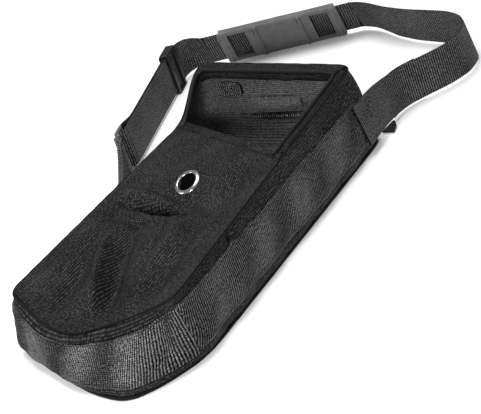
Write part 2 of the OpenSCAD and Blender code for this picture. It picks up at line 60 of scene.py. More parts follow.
def box_mm(node):
    """Lowest and highest corner of a CAD node, in millimetres."""
    low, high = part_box(node)
    return np.array(low) / MM, np.array(high) / MM


# ---- sizes, from the frame where it holds them

FABRIC = 1.6  # thickness of the cloth
WEB_T = 2.2  # thickness and width of the webbing
WEB_W = 50.0
SEAM = 0.1  # gap between sewn layers
CLEAR = 0.35  # gap round what slides on the webbing
RIB_PITCH = 2.9  # of the strap's ribs
_, BACK_HI = box_mm("back_panel")
_, FRONT_HI = box_mm("front_panel")
_, TOP_HI = box_mm("gusset_top")
_, RIGHT_HI = box_mm("gusset_right")
GUSSET_LO, _ = box_mm("gusset_bottom")
BAG_W = 2 * (FRONT_HI[0] - FABRIC)
BAG_L = 2 * (BACK_HI[1] - FABRIC)
LEAN = BACK_HI[0] - FRONT_HI[0]
FOOT_BULGE = -GUSSET_LO[1] - BAG_L / 2 - FABRIC
FRONT_OUT = 30.0  # how far the bottom end's upper edge bows out
FOOT_DEPTH = 72.0
RIGHT_RISE = RIGHT_HI[2]
LEFT_RISE = TOP_HI[2]
LEFT_HEM_Z = WEB_W + 10.0  # height of the left edge at the hem
FOOT_SAG = 26.0  # how far the bottom end's upper edge sags
HEM_DROP_LEFT, HEM_DROP_RIGHT = 60.0, 174.0  # distance of the hem's ends from the mouth end
HEM_LEFT_Y = BAG_L / 2 - HEM_DROP_LEFT
HEM_RIGHT_Y = BAG_L / 2 - HEM_DROP_RIGHT
HEM_W = 12.0
EYELET_XY = (-15.0, 14.0)
HOLE_R = 11.0
FLANGE_R = 16.0
FOLD_DEPTH = 22.0  # the fold across the front, below the eyelet
FOLD_REACH = 34.0
FOLD_Y = EYELET_XY[1] - 36
BORDER_TOP = 16.0  # width of the mouth's border
BORDER_SIDE = 9.0


# ---- camera, light and floor


def aim_camera():
    """The camera at the photograph's viewing angle. Azimuth 0 looks along +Y."""
    azimuth, elevation, roll = math.radians(-39.28), math.radians(27.24), math.radians(-20.32)
    target, distance = Vector((0.00275, 0.0637, 0)), 2.2009
    ahead = Vector((
        math.sin(azimuth) * math.cos(elevation),
        math.cos(azimuth) * math.cos(elevation),
        -math.sin(elevation),
    ))
    level = ahead.cross(Vector((0, 0, 1))).normalized()
    above = level.cross(ahead)
    right = math.cos(roll) * level + math.sin(roll) * above
    up = math.cos(roll) * above - math.sin(roll) * level
    data = bpy.data.cameras.new("camera")
    data.lens, data.sensor_width = 147.2, 36.0
    data.clip_start, data.clip_end = 0.05, 50
    camera = bpy.data.objects.new("camera", data)
    bpy.context.scene.collection.objects.link(camera)
    turn = Matrix((right, up, -ahead)).transposed().to_4x4()
    camera.matrix_world = Matrix.Translation(target - ahead * distance) @ turn
    bpy.context.scene.camera = camera


def area_light(name, place, target, size, power):
    data = bpy.data.lights.new(name, "AREA")
    data.shape, data.size, data.energy = "DISK", size, power
    light = bpy.data.objects.new(name, data)
    bpy.context.scene.collection.objects.link(light)
    light.location = place
    light.rotation_mode = "QUATERNION"
    light.rotation_quaternion = (Vector(target) - Vector(place)).to_track_quat("-Z", "Y")


def studio():
    scene = bpy.context.scene
    scene.view_settings.view_transform = "Standard"
    world = bpy.data.worlds.new("studio")
    scene.world = world
    world.use_nodes = True
    background = world.node_tree.nodes["Background"]
    background.inputs["Color"].default_value = (1, 1, 1, 1)
    background.inputs["Strength"].default_value = 0.42
    area_light("top", (-0.2, 0.3, 2.3), (0, 0, 0), 1.6, 50)
    area_light("left", (-1.6, -1.2, 0.8), (0, 0, 0.05), 0.6, 9)
    area_light("near", (0.7, -2.0, 0.9), (0, 0, 0.05), 0.6, 42)
    paint = bpy.data.materials.new("floor")
    paint.use_nodes = True
    shader = paint.node_tree.nodes["Principled BSDF"]
    shader.inputs["Base Color"].default_value = (0.93, 0.93, 0.93, 1)
    shader.inputs["Roughness"].default_value = 0.9
    half = 6.0
    mesh = bpy.data.meshes.new("floor")
    corners = [(-half, -half, 0), (half, -half, 0), (half, half, 0), (-half, half, 0)]
    mesh.from_pydata(corners, [], [(0, 1, 2, 3)])
    mesh.materials.append(paint)
    floor = bpy.data.objects.new("floor", mesh)
    scene.collection.objects.link(floor)


# ---- materials


class Shader:
    """A material with a few short calls for its nodes."""

    def __init__(self, name):
        self.material = bpy.data.materials.new(name)
        self.material.use_nodes = True
        self.nodes = self.material.node_tree.nodes
        self.links = self.material.node_tree.links
        self.main = self.nodes["Principled BSDF"]

    def put(self, node, name, value):
        if isinstance(value, bpy.types.NodeSocket):
            self.links.new(value, node.inputs[name])
        else:
            node.inputs[name].default_value = value

    def add(self, kind, settings=None, **inputs):
        node = self.nodes.new(kind)
        for key, value in (settings or {}).items():
            setattr(node, key, value)
        for name, value in inputs.items():
            self.put(node, name, value)
        return node

    def maths(self, operation, a, b):
        node = self.add("ShaderNodeMath", {"operation": operation})
        self.put(node, 0, a)
        self.put(node, 1, b)
        return node.outputs[0]

    def total(self, *parts):
        """The sum of pairs of a value and its weight."""
        tone = self.maths("MULTIPLY", *parts[0])
        for value, weight in parts[1:]:
            tone = self.maths("ADD", tone, self.maths("MULTIPLY", value, weight))
        return tone

    def coords(self, uv):
        node = self.nodes.new("ShaderNodeTexCoord")
        return node.outputs["UV" if uv else "Object"]

    def wave(self, at, axis, pitch, bend):
        """Bands from 0 to 1 across an axis, a pitch apart in metres."""
        node = self.add("ShaderNodeTexWave", {"bands_direction": axis}, Vector=at)
        node.inputs["Scale"].default_value = math.pi / 10 / pitch
        node.inputs["Distortion"].default_value = bend
        node.inputs["Detail Scale"].default_value = 2.0
        return node.outputs["Fac"]

    def noise(self, at, size, detail):
        node = self.add("ShaderNodeTexNoise", None, Vector=at)
        node.inputs["Scale"].default_value = 1 / size
        node.inputs["Detail"].default_value = detail
        return node.outputs["Fac"]

    def ramp(self, value, stops):
        node = self.add("ShaderNodeValToRGB", None, Fac=value)
        elements = node.color_ramp.elements
        while len(elements) < len(stops):
            elements.new(0.5)
        for element, (place, colour) in zip(elements, stops):
            element.position = place
            element.color = (*colour, 1)
        return node.outputs["Color"]

    def bump(self, height, distance, under=None):
        node = self.add("ShaderNodeBump", None, Height=height, Distance=distance, Strength=1.0)
        if under is not None:
            self.put(node, "Normal", under)
        return node.outputs["Normal"]

    def finish(self, **inputs):
        for name, value in inputs.items():
            self.put(self.main, name.replace("_", " "), value)
        return self.material


def grey(value):
    return (value, value, value)


def woven(name, dark, light, along, across, painted_glint, rough):
    """Plain woven cloth: along and across are the distances between its yarns in metres. The glint factor
    lights its brightest flecks past its light colour: painted highlights in the base colour.
    """
    s = Shader(name)
    at = s.coords(uv=True)
    warp = s.wave(at, "X", across, bend=1.2)
    weft = s.wave(at, "Y", along, bend=1.2)
    weave = s.maths("MULTIPLY", warp, s.maths("ADD", s.maths("MULTIPLY", weft, 0.7), 0.3))
    fleck = s.noise(at, 0.0024, 2.0)
    streak = s.noise(at, 0.009, 5.0)
    cloud = s.noise(at, 0.05, 4.0)
    tone = s.total((weave, 0.3), (fleck, 0.8), (streak, 0.15), (cloud, 0.25))
    # the top stop is painted highlight: the brightest flecks take many times the cloth's light colour
    colour = s.ramp(tone, [(0.5, dark), (0.74, light), (0.9, tuple(painted_glint * c for c in light))])
    roughness = s.ramp(fleck, [(0.35, grey(rough + 0.1)), (0.7, grey(rough - 0.12))])
    normal = s.bump(weave, 0.0004, s.bump(fleck, 0.0009, s.bump(streak, 0.0006)))
    gleam = s.ramp(tone, [(0.52, grey(0.07)), (0.78, grey(0.15)), (0.94, grey(0.45))])
    return s.finish(Base_Color=colour, Roughness=roughness, Normal=normal, Specular_IOR_Level=gleam)


def ribbed(name, dark, light, pitch, yarn, rough):
    """Webbing: U runs across its ribs and V along them, in metres. Its colour is painted lighter on the rib
    tops and darker between them, with painted glints where ribs and flecks stand highest.
    """
    s = Shader(name)
    at = s.coords(uv=True)
    rib = s.wave(at, "X", pitch, bend=0.5)
    strand = s.wave(at, "Y", yarn, bend=1.5)
    weave = s.maths("MULTIPLY", rib, s.maths("ADD", s.maths("MULTIPLY", strand, 0.4), 0.6))
    fleck = s.noise(at, 0.0022, 2.0)
    cloud = s.noise(at, 0.04, 3.0)
    tone = s.total((weave, 0.45), (fleck, 0.75), (cloud, 0.2))
    # painted glints: the brightest rib tops and flecks take 22 times the webbing's light colour
    painted_glint = tuple(22 * c for c in light)
    colour = s.ramp(tone, [(0.42, dark), (0.68, light), (0.84, painted_glint)])
    shine = s.ramp(tone, [(0.3, grey(rough + 0.25)), (0.85, grey(rough))])
    normal = s.bump(strand, 0.0004, s.bump(fleck, 0.0006))
    gleam = s.ramp(tone, [(0.42, grey(0.03)), (0.66, grey(0.3)), (0.86, grey(1.0))])
    return s.finish(Base_Color=colour, Roughness=shine, Normal=normal, Specular_IOR_Level=gleam)


def moulded(name, dark, light, grain, rough):
    """Moulded plastic with a fine grain and rubbed spots."""
    s = Shader(name)
    at = s.coords(uv=False)
    fine = s.noise(at, grain, 3.0)
    rub = s.noise(at, 0.012, 4.0)
    colour = s.ramp(rub, [(0.3, dark), (0.7, light)])
    roughness = s.ramp(rub, [(0.3, grey(rough + 0.1)), (0.75, grey(rough - 0.08))])
    s.main.inputs["Specular IOR Level"].default_value = 0.3
    return s.finish(Base_Color=colour, Roughness=roughness, Normal=s.bump(fine, 0.00025))


def plated(name, colour, rough):
    """Bright plated metal with fine scratches."""
    s = Shader(name)
    at = s.coords(uv=False)
    scratch = s.noise(at, 0.0007, 5.0)
    smear = s.noise(at, 0.006, 3.0)
    roughness = s.ramp(smear, [(0.3, grey(rough)), (0.75, grey(rough + 0.16))])
    s.main.inputs["Metallic"].default_value = 1.0
    return s.finish(
        Base_Color=s.ramp(smear, [(0.3, colour), (0.8, tuple(0.8 * c for c in colour))]),
        Roughness=roughness,
        Normal=s.bump(scratch, 0.00002),
    )


# ---- meshes


def grid_quads(rows, cols, offset=0, flip=False, wrap=False):
    """Quads of a grid of points, the columns closed into a ring if wrap is set."""
    i = np.arange(rows - 1)[:, None]
    j = np.arange(cols if wrap else cols - 1)[None, :]
    k = (j + 1) % cols
    quads = np.stack([i * cols + j, i * cols + k, (i + 1) * cols + k, (i + 1) * cols + j], -1).reshape(-1, 4)
    if flip:
        quads = quads[:, ::-1]
    return quads + offset


def outward(points, faces):
    """The faces, turned over if the closed skin they make has a negative volume."""
    quads = np.array([f for f in faces if len(f) == 4])
    a, b, c, d = (points[quads[:, i]] for i in range(4))
    total = np.sum(a * np.cross(b, c)) + np.sum(a * np.cross(c, d))
    return [f[::-1] for f in faces] if total < 0 else faces


def build(name, points, faces, material, uv=None, sharp=50):
    """A smooth mesh object. points are in millimetres, uv one pair a point in metres."""
    faces = outward(np.asarray(points), [list(f) for f in faces])
    mesh = bpy.data.meshes.new(name)
    mesh.from_pydata((np.asarray(points) * MM).tolist(), [], faces)
    if uv is not None:
        layer = mesh.uv_layers.new(name="weave")
        index = np.zeros(len(mesh.loops), np.int32)
        mesh.loops.foreach_get("vertex_index", index)
        layer.data.foreach_set("uv", np.asarray(uv, np.float32)[index].ravel())
    mesh.polygons.foreach_set("use_smooth", np.ones(len(mesh.polygons), bool))
    mesh.set_sharp_from_angle(angle=math.radians(sharp))
    mesh.materials.append(material)
    obj = bpy.data.objects.new(f"{name}_skin", mesh)
    bpy.context.scene.collection.objects.link(obj)
    return obj


def shell(name, outer, inner, uv, material, lining=None):
    """A closed sheet between two grids of points with the same rows and columns, lined on its inner face."""
    rows, cols = outer.shape[:2]
    count = rows * cols
    index = np.arange(count).reshape(rows, cols)
    rim = np.concatenate([index[0], index[1:, -1], index[-1, -2::-1], index[-2:0:-1, 0]])
    ahead = np.roll(rim, -1)
    faces = np.concatenate([
        grid_quads(rows, cols),
        grid_quads(rows, cols, count, flip=True),
        np.stack([ahead, rim, rim + count, ahead + count], -1),
    ])
    points = np.concatenate([outer.reshape(-1, 3), inner.reshape(-1, 3)])
    flat = uv.reshape(-1, 2)
    obj = build(name, points, faces, material, np.concatenate([flat, flat]))
    if lining is not None:
        obj.data.materials.append(lining)
        side = np.zeros(len(faces), np.int32)
        half = (rows - 1) * (cols - 1)
        side[half:2 * half] = 1
        obj.data.polygons.foreach_set("material_index", side)
    return obj


def swept(name, rings, uv, material, closed=False, sharp=50):
    """A skin over rows of section points, with flat caps at its ends unless it closes on itself."""
    rows, cols = rings.shape[:2]
    faces = [tuple(f) for f in grid_quads(rows, cols, wrap=True)]
    if closed:
        last = (rows - 1) * cols
        faces += [(last + j, last + (j + 1) % cols, (j + 1) % cols, j) for j in range(cols)]
    else:
        faces.append(tuple(range(cols))[::-1])
        faces.append(tuple((rows - 1) * cols + j for j in range(cols)))
    flat = None if uv is None else uv.reshape(-1, 2)
    return build(name, rings.reshape(-1, 3), faces, material, flat, sharp)


def wear(obj, body, slot_name, *nodes):
    """Puts a piece on its body, in place of the CAD nodes it stands for. slot_name is not used."""
    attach(obj, body)
    if nodes:
        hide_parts(*nodes)
    return obj


def unit(vectors):
    return vectors / np.maximum(np.linalg.norm(vectors, axis=-1, keepdims=True), 1e-9)


def grid_normals(points, wrap_cols=False):
    """Normals of a grid of points, rows across columns."""
    down = np.gradient(points, axis=0)
    if wrap_cols:
        along = (np.roll(points, -1, axis=1) - np.roll(points, 1, axis=1)) / 2
    else:
        along = np.gradient(points, axis=1)
    return unit(np.cross(down, along))


def lerp(a, b, t):
    return a + (b - a) * t


def smooth_step(x, low, high):
    t = np.clip((x - low) / (high - low), 0, 1)
    return t * t * (3 - 2 * t)


def bell(x, middle, width):
    return np.exp(-((x - middle) / width) ** 2)


def window(x, rise_from, rise_to, fall_from, fall_to):
    """1 between a rise and a fall, and 0 outside them."""
    return smooth_step(x, rise_from, rise_to) * (1 - smooth_step(x, fall_from, fall_to))


def run_of(points):
    """Distances along a row of points from its start."""
    return np.concatenate([[0], np.cumsum(np.linalg.norm(np.diff(points, axis=0), axis=1))])


def weave_uv(across, along):
    """Texture places in metres, from two grids in millimetres."""
    return np.stack(np.broadcast_arrays(across, along), -1) * MM


def ripples(x, y, seed, length, stretch=1.0):
    """Gentle random folds, about -1 to 1, with wavelengths round length; stretch lengthens them along y."""
    rng = np.random.default_rng(seed)
    count = 14
    total = np.zeros(np.broadcast(x, y).shape)
    for _ in range(count):
        turn = rng.uniform(0, math.pi)
        wave = 2 * math.pi / (length * rng.uniform(0.7, 1.6))
        shift = rng.uniform(0, 2 * math.pi)
        total = total + np.sin(wave * (x * math.cos(turn) + y * math.sin(turn) / stretch) + shift)
    return total / math.sqrt(count)


def ridge(x, y, start, end, width, height):
    """A soft fold of cloth along a line, which fades at its ends."""
    a, b = np.array(start, float), np.array(end, float)
    length = np.linalg.norm(b - a)
    d = (b - a) / length
    along = (x - a[0]) * d[0] + (y - a[1]) * d[1]
    off = (x - a[0]) * -d[1] + (y - a[1]) * d[0]
    quarter = length / 4
    fade = window(along, -quarter, quarter, 3 * quarter, 5 * quarter)
    return height * fade * bell(off, 0, width)


def ring_smooth(points, sigma):
    """Rounds a closed row of points with a Gaussian of sigma steps."""
    n = len(points)
    step = np.minimum(np.arange(n), n - np.arange(n))
    kernel = np.exp(-0.5 * (step / sigma) ** 2)
    kernel /= kernel.sum()
    return np.real(np.fft.ifft(np.fft.fft(points, axis=0) * np.fft.fft(kernel)[:, None], axis=0))


def row_smooth(points, sigma, step):
    """Rounds an open row of points a step apart, keeping its ends and its straight stretches."""
    reach = int(4 * sigma / step)
    kernel = np.exp(-0.5 * (np.arange(-reach, reach + 1) * step / sigma) ** 2)
    kernel /= kernel.sum()
    before = 2 * points[0] - points[reach:0:-1]
    after = 2 * points[-1] - points[-2:-reach - 2:-1]
    padded = np.concatenate([before, points, after])
    return np.stack([np.convolve(padded[:, c], kernel, "valid") for c in range(points.shape[1])], -1)


# ---- the bag's form: k is the side, 0 right, 1 bottom end, 2 left, 3 mouth end; s runs 0 to 1 round the bag

RIM_U = (FABRIC + 0.3) / BAG_W
SIDE_POINTS = (210, 150, 210, 110)
SIDE_START = np.concatenate([[0], np.cumsum(SIDE_POINTS)])
RING_POINTS = int(SIDE_START[-1])


def dip(u):
    return np.sin(math.pi * np.clip((u - RIM_U) / (1 - 2 * RIM_U), 0, 1))


def right_z(y):
    return lerp(FOOT_DEPTH, RIGHT_RISE, np.maximum(0, (y + BAG_L / 2) / BAG_L))


def left_z(y):
    return np.interp(y, [-BAG_L / 2, HEM_LEFT_Y, BAG_L / 2], [FOOT_DEPTH, LEFT_HEM_Z, LEFT_RISE])


def edge_y(s):
    return -BAG_L / 2 - FRONT_OUT * np.sin(math.pi * s) * np.interp(
        s, [0, 0.2, 0.4, 0.55, 0.8, 1], [0, 0.2, 0.5, 1, 0.95, 0.2]
    )


def foot_point(k, s):
    half, end = BAG_W / 2 + LEAN, BAG_L / 2
    bulge = np.interp(s, [0, 0.07, 0.14, 0.22, 0.42, 0.62, 0.82, 1], [0, 0.42, 0.8, 1, 0.88, 0.62, 0.32, 0])
    x = [0 * s + half, lerp(half, -half, s), 0 * s - half, lerp(-half, half, s)][k]
    y = [lerp(end, -end, s), -end - FOOT_BULGE * bulge, lerp(-end, end, s), 0 * s + end][k]
    return np.stack([x, y, 0 * s + FABRIC], -1)


def edge_point(k, s):
    half, end = BAG_W / 2, BAG_L / 2
    x = [0 * s + half, lerp(half, -half, s), 0 * s - half, lerp(-half, half, s)][k]
    y = [lerp(end, -end, s), edge_y(s), lerp(-end, end, s), 0 * s + end][k]
    z = [right_z(y), FOOT_DEPTH - FOOT_SAG * dip(s), left_z(y), lerp(LEFT_RISE, RIGHT_RISE, s)][k]
    return np.stack([x, y, z], -1)


def inset_point(k, s):
    """The inner edge of the mouth's border, round the bag like the outer one."""
    half, top = BAG_W / 2 - BORDER_SIDE, BAG_L / 2 - BORDER_TOP
    edge = edge_point(k, s)
    x = [0 * s + half, lerp(half, -half, s), 0 * s - half, lerp(-half, half, s)][k]
    y = [lerp(top, -BAG_L / 2, s), edge[:, 1], lerp(-BAG_L / 2, top, s), 0 * s + top][k]
    return np.stack([x, y, edge[:, 2]], -1)


def ring_of(point, sigma):
    """A closed row of points round the bag."""
    return ring_smooth(np.concatenate([point(k, np.arange(n) / n) for k, n in enumerate(SIDE_POINTS)]), sigma)


def ring_pick(ring, k, s):
    """Points of a ring of rows on side k at shares s, between its own points."""
    place = SIDE_START[k] + np.asarray(s) * SIDE_POINTS[k]
    low = np.floor(place).astype(int)
    share = (place - low)[..., None]
    return ring[low % RING_POINTS] * (1 - share) + ring[(low + 1) % RING_POINTS] * share


EDGE = ring_of(edge_point, 6.0)
FOOT = ring_of(foot_point, 8.0)
INSET = ring_of(inset_point, 5.0)
WALL_ROWS = 44
WALL_HEIGHT = 75.0  # about its mean, for the scale of its wrinkles


def wall_surface():
    """The standing wall's inner face with its sag and folds: rows from the foot up, columns round the bag."""
    v = np.linspace(0, 1, WALL_ROWS)[:, None]
    base = lerp(FOOT[None], EDGE[None], v[..., None])
    out = unit(grid_normals(base, wrap_cols=True) * np.array([1, 1, 0.0]))
    side = np.concatenate([np.full(n, k) for k, n in enumerate(SIDE_POINTS)])
    s = (np.arange(RING_POINTS)[None, :] - SIDE_START[1]) / SIDE_POINTS[1]
    run = np.cumsum(np.linalg.norm(np.roll(EDGE, -1, 0) - EDGE, axis=1))[None, :]
    up = v * WALL_HEIGHT
    bellies = np.array([4.2, 6.0, 4.2, 1.8])
    belly = ring_smooth(bellies[side][:, None], 9.0).T * np.sin(math.pi * v ** 0.85)
    wrinkles = 1.5 * ripples(run, up, 11, 75, 0.7) + 0.6 * ripples(run, up, 12, 28, 0.8)
    under = -4.5 * bell(v, 0, 0.06)
    over = np.where(side == 1, np.sin(math.pi * np.clip(s, 0, 1)) ** 0.6, 0)
    lip = over * (6.5 + 2.0 * np.sin(9 * s)) * bell(v, 0.89, 0.05) - 3.0 * over * bell(v, 0.8, 0.035)
    pocket = -8.0 * bell(s, 0.47, 0.12) * bell(v, 0.965, 0.03)
    tuck = 4.5 * bell(run, 292, 9) * bell(v, 0.9, 0.07) - 6.0 * bell(run, 304, 6) * bell(v, 0.88, 0.08)
    valley = -7.0 * bell(run, 428, 9) * window(v, 0.05, 0.5, 0.86, 1)
    offset = belly + np.sin(math.pi * v) ** 0.5 * wrinkles + under + lip + pocket + tuck + valley
    return base + out * offset[..., None]


WALL = wall_surface()
WALL_OUT = grid_normals(WALL, wrap_cols=True)


def wall_pick(k, s, v, out):
    """Points of the wall on side k at shares s along it and v up it, out millimetres outwards."""
    s, v = np.broadcast_arrays(s, v)
    across, up = (SIDE_START[k] + s * SIDE_POINTS[k]) % RING_POINTS, v * (WALL_ROWS - 1)
    col, row = np.floor(across).astype(int), np.clip(np.floor(up).astype(int), 0, WALL_ROWS - 2)
    a, b = (across - col)[..., None], (up - row)[..., None]

    def blend(grid):
        c0, c1 = col % RING_POINTS, (col + 1) % RING_POINTS
        return lerp(lerp(grid[row, c0], grid[row, c1], a), lerp(grid[row + 1, c0], grid[row + 1, c1], a), b)

    return blend(WALL) + unit(blend(WALL_OUT)) * np.asarray(out)[..., None]


def gusset(k, name):
    """The fabric of one side of the wall."""
    cols = np.arange(SIDE_START[k], SIDE_START[k + 1] + 1) % RING_POINTS
    inner = WALL[:, cols].copy()
    outer = WALL[:, cols] + WALL_OUT[:, cols] * FABRIC
    if k == 3:
        v = np.linspace(0, 1, WALL_ROWS)[:, None]
        across = np.sin(math.pi * np.linspace(0, 1, len(cols)))[None, :] ** 0.5
        slope_in, creases = 17 * (1 - smooth_step(v, 0, 0.34)), 1.5 * np.sin(9 * v) ** 2
        inner[..., 1] -= across * slope_in + across * creases
    up = np.linspace(0, 78, WALL_ROWS)[:, None]
    uv = weave_uv(up, run_of(outer[WALL_ROWS // 2])[None, :])
    return wear(shell(name, outer, inner, uv, CLOTH, LINING), "bag", "fabric", name)


def web_share(k):
    """Shares of the wall's height at the two edges of its webbing, along a side, as two functions of s."""
    if k == 1:
        return lambda s: 0 * s + 0.14, lambda s: 0 * s + 0.86

    def height(s):
        return np.linalg.norm(edge_point(k, s) - foot_point(k, s), axis=-1)

    low = 0.6 * (height(np.linspace(0, 1, 43)).min() - WEB_W)
    return lambda s: low / height(s), lambda s: (low + WEB_W) / height(s)


def ribs(run, across, pitch, slant, relief):
    """Height of webbing's ribs, each rounded, running across it at a slant."""
    phase = (run + across * slant) / pitch
    return relief * (0.5 + 0.5 * np.cos(2 * math.pi * phase)) ** 0.6


def straight_start(points):
    """Lets the webbing's first stretch run on in a straight line where the cloth rounds the corner."""
    cols = points.shape[1]
    first, step = int(0.07 * cols), int(0.03 * cols)
    slope = (points[:, first + step] - points[:, first]) / step
    count = np.arange(first)[None, :, None] - first
    return np.concatenate([points[:, first][:, None] + slope[:, None] * count, points[:, first:]], 1)


def wall_webbing(k, name, length, slant, pitch):
    """Webbing sewn on a side of the wall, with real ribs and turned edges."""
    s = np.linspace(0.03 if k == 0 else 0.0, 1.0, int(length / 0.55))
    low, high = web_share(k)
    w = np.linspace(0, 1, 26)[:, None]
    v = lerp(low(s)[None, :], high(s)[None, :], w)
    relief = ribs(s[None, :] * length, w * WEB_W, pitch, slant, 0.55) * np.clip(8 * w * (1 - w), 0, 1)
    lift = FABRIC + SEAM + WEB_T - 0.5 + relief - 0.9 * bell(np.minimum(w, 1 - w), 0, 0.02)
    outer = wall_pick(k, s[None, :], v, lift)
    inner = wall_pick(k, s[None, :], v, FABRIC + SEAM + 0 * lift)
    if k == 0:
        outer, inner = straight_start(outer), straight_start(inner)
    uv = weave_uv(s[None, :] * length + slant * w * WEB_W, w * WEB_W)
    return wear(shell(name, outer, inner, uv, WEBBING), "bag", "webbing", name)


# ---- front panel: u runs 0 to 1 from the right edge to the left, s 0 to 1 from the bottom edge to the hem

FRONT_LENGTH = 330.0  # about its mean, for the reach of its edges
# soft folds: where each starts and ends, its width, and its height or, below 0, its depth
FRONT_FOLDS = [
    ((-56, -90), (-8, -205), 9, 9.0),
    ((-36, -66), (10, -205), 10, -8.0),
    ((-88, -90), (-78, -205), 7, 6.0),
    ((-76, -50), (-44, -215), 9, -7.0),
    ((28, -60), (40, -205), 11, 6.0),
    ((50, -30), (64, -190), 10, -6.0),
    ((78, -10), (80, -170), 9, 5.0),
    ((90, 20), (86, -120), 6, -4.0),
    ((8, -45), (12, -130), 8, 5.0),
    ((26, 88), (40, -10), 10, 3.6),
    ((54, 60), (66, -30), 9, -3.6),
    ((-56, 118), (-52, 40), 11, -3.4),
    ((-80, 130), (-82, 30), 9, 3.6),
]


def hem_y(u):
    return lerp(HEM_RIGHT_Y, HEM_LEFT_Y, u)


def front_z(u, y):
    s = (y - edge_y(u)) / (hem_y(u) - edge_y(u))
    sag = FOOT_SAG * dip(u) * (1 - s) ** 2
    fold = FOLD_DEPTH * bell(y, FOLD_Y, FOLD_REACH) * dip(u)
    return lerp(right_z(y), left_z(y), u) - sag - fold


def front_drape(u, s):
    """The folds that the cloth hangs in between its edges, added to its smooth form."""
    x, y = lerp(BAG_W / 2, -BAG_W / 2, u), lerp(edge_y(u), hem_y(u), s)
    edge = np.clip(4.5 * u * (1 - u), 0, 1) * np.clip(9 * s, 0, 1)
    crease = -13 - (x + 85) * 0.2
    drop = (y - crease) / 10
    folds = (10.0 * bell(drop, 0.9, 1.0) - 12.0 * bell(drop, -0.5, 0.55)) * window(x, -104, -76, -30, 22)
    folds = folds + 5.0 * bell(drop, -2.2, 0.8) * window(x, -84, -50, -12, 16)
    folds = folds - 4.0 * bell(drop, -3.6, 0.8) * window(x, -90, -60, 0, 34)
    for start, end, width, height in FRONT_FOLDS:
        folds = folds + ridge(x, y, start, end, width, height)
    near_hem = 1 - bell((1 - s) * FRONT_LENGTH, 0, 34)
    wrinkles = 1.1 * ripples(x, y, 21, 60, 2.4) + 0.55 * ripples(x, y, 22, 20, 2.4)
    wrinkles = wrinkles * (0.25 + 0.75 * near_hem)
    flat = 1 - np.exp(-((x - EYELET_XY[0]) ** 2 + (y - EYELET_XY[1]) ** 2) / 24 ** 2)
    return (1.2 * folds * near_hem + wrinkles) * flat * edge


def eyelet_frame():
    """The eyelet's centre on the front, and its turn, from the form of the front under it."""
    u, d = 0.5 - EYELET_XY[0] / BAG_W, FLANGE_R
    rise_y = (front_z(u, EYELET_XY[1] + d) - front_z(u, EYELET_XY[1] - d)) / (2 * d)
    rise_x = (front_z(u - d / BAG_W, EYELET_XY[1]) - front_z(u + d / BAG_W, EYELET_XY[1])) / (2 * d)
    pitch = math.atan(rise_y)
    roll = -math.atan(rise_x * math.cos(pitch))
    centre = np.array([*EYELET_XY, front_z(u, EYELET_XY[1]) + SEAM + FABRIC])
    turn = np.array(Matrix.Rotation(pitch, 3, "X") @ Matrix.Rotation(roll, 3, "Y"))
    return centre, turn


EYELET_AT, EYELET_TURN = eyelet_frame()


def front_points(u, s, lift):
    """Points of the front's drape. Its border follows the bag's rounded edge."""
    y = lerp(edge_y(u), hem_y(u), s)
    z = front_z(u, y) + SEAM + front_drape(u, s) + lift
    x = lerp(BAG_W / 2, -BAG_W / 2, u) + FABRIC * (1 - 2 * u)
    points = np.stack([x, y - FABRIC * np.exp(-s * 40), z], -1)

    def pull(k, t):
        return ring_pick(EDGE, k, t) - edge_point(k, t.ravel()).reshape(*t.shape, 3)

    right = pull(0, np.clip((BAG_L / 2 - y) / BAG_L, 0, 1))
    left = pull(2, np.clip((BAG_L / 2 + y) / BAG_L, 0, 1))
    bottom = pull(1, u)
    reach = 16
    wide, long = BAG_W / reach, FRONT_LENGTH / reach
    points += right * np.exp(-u * wide)[..., None] + left * np.exp(-(1 - u) * wide)[..., None]
    corner = np.exp(-u * wide) + np.exp(-(1 - u) * wide)
    return points + bottom * (np.exp(-s * long) * (1 - 0.75 * np.clip(corner, 0, 1)))[..., None]


def front_grid(s0, s1, rows, cols, lift):
    u, s = np.meshgrid(np.linspace(0, 1, cols), np.linspace(s0, s1, rows))
    uv = np.stack([u * BAG_W, lerp(edge_y(u), hem_y(u), s)], -1) * MM
    return front_points(u, s, lift), uv


def flatten_to_eyelet(points):
    """Lays the cloth flat under the eyelet's flange, and fades back to its own form round it."""
    local = (points - EYELET_AT) @ EYELET_TURN
    far = np.hypot(local[..., 0], local[..., 1])
    local[..., 2] *= smooth_step(far, FLANGE_R, FLANGE_R + 9)
    return local @ EYELET_TURN.T + EYELET_AT


def holed_plate(top, low, quads):
    """A closed plate where the quads are, between two grids: its points, faces and which points it keeps."""
    edges = {tuple(e) for e in np.concatenate([quads[:, [a, (a + 1) % 4]] for a in range(4)]).tolist()}
    rim = np.array([(a, b) for a, b in edges if (b, a) not in edges])
    count = top.shape[0] * top.shape[1]
    sides = np.stack([rim[:, 1], rim[:, 0], rim[:, 0] + count, rim[:, 1] + count], -1)
    faces = np.concatenate([quads, quads[:, ::-1] + count, sides])
    used = np.unique(faces)
    lookup = np.full(2 * count, -1)
    lookup[used] = np.arange(len(used))
    points = np.concatenate([top.reshape(-1, 3), low.reshape(-1, 3)])[used]
    return points, lookup[faces], used


def front_panel():
    top, uv = front_grid(0, 1, 260, 170, FABRIC)
    top = flatten_to_eyelet(top)
    local = (top - EYELET_AT) @ EYELET_TURN
    far = np.hypot(local[..., 0], local[..., 1])
    cut_r = HOLE_R + 1.0
    near = far < cut_r
    local[..., :2] *= np.where(near, cut_r / np.maximum(far, 1e-6), 1)[..., None]
    top = local @ EYELET_TURN.T + EYELET_AT
    down = -grid_normals(top)
    low = top + down * np.where(down[..., 2:] < 0, 1, -1) * FABRIC
    hole = near[:-1, :-1] & near[1:, :-1] & near[:-1, 1:] & near[1:, 1:]
    points, faces, used = holed_plate(top, low, grid_quads(*near.shape)[~hole.ravel()])
    flat = np.concatenate([uv.reshape(-1, 2)] * 2)[used]
    piece = wear(build("front_panel", points, faces, CLOTH, flat), "bag", "fabric", "front_panel")
    return piece


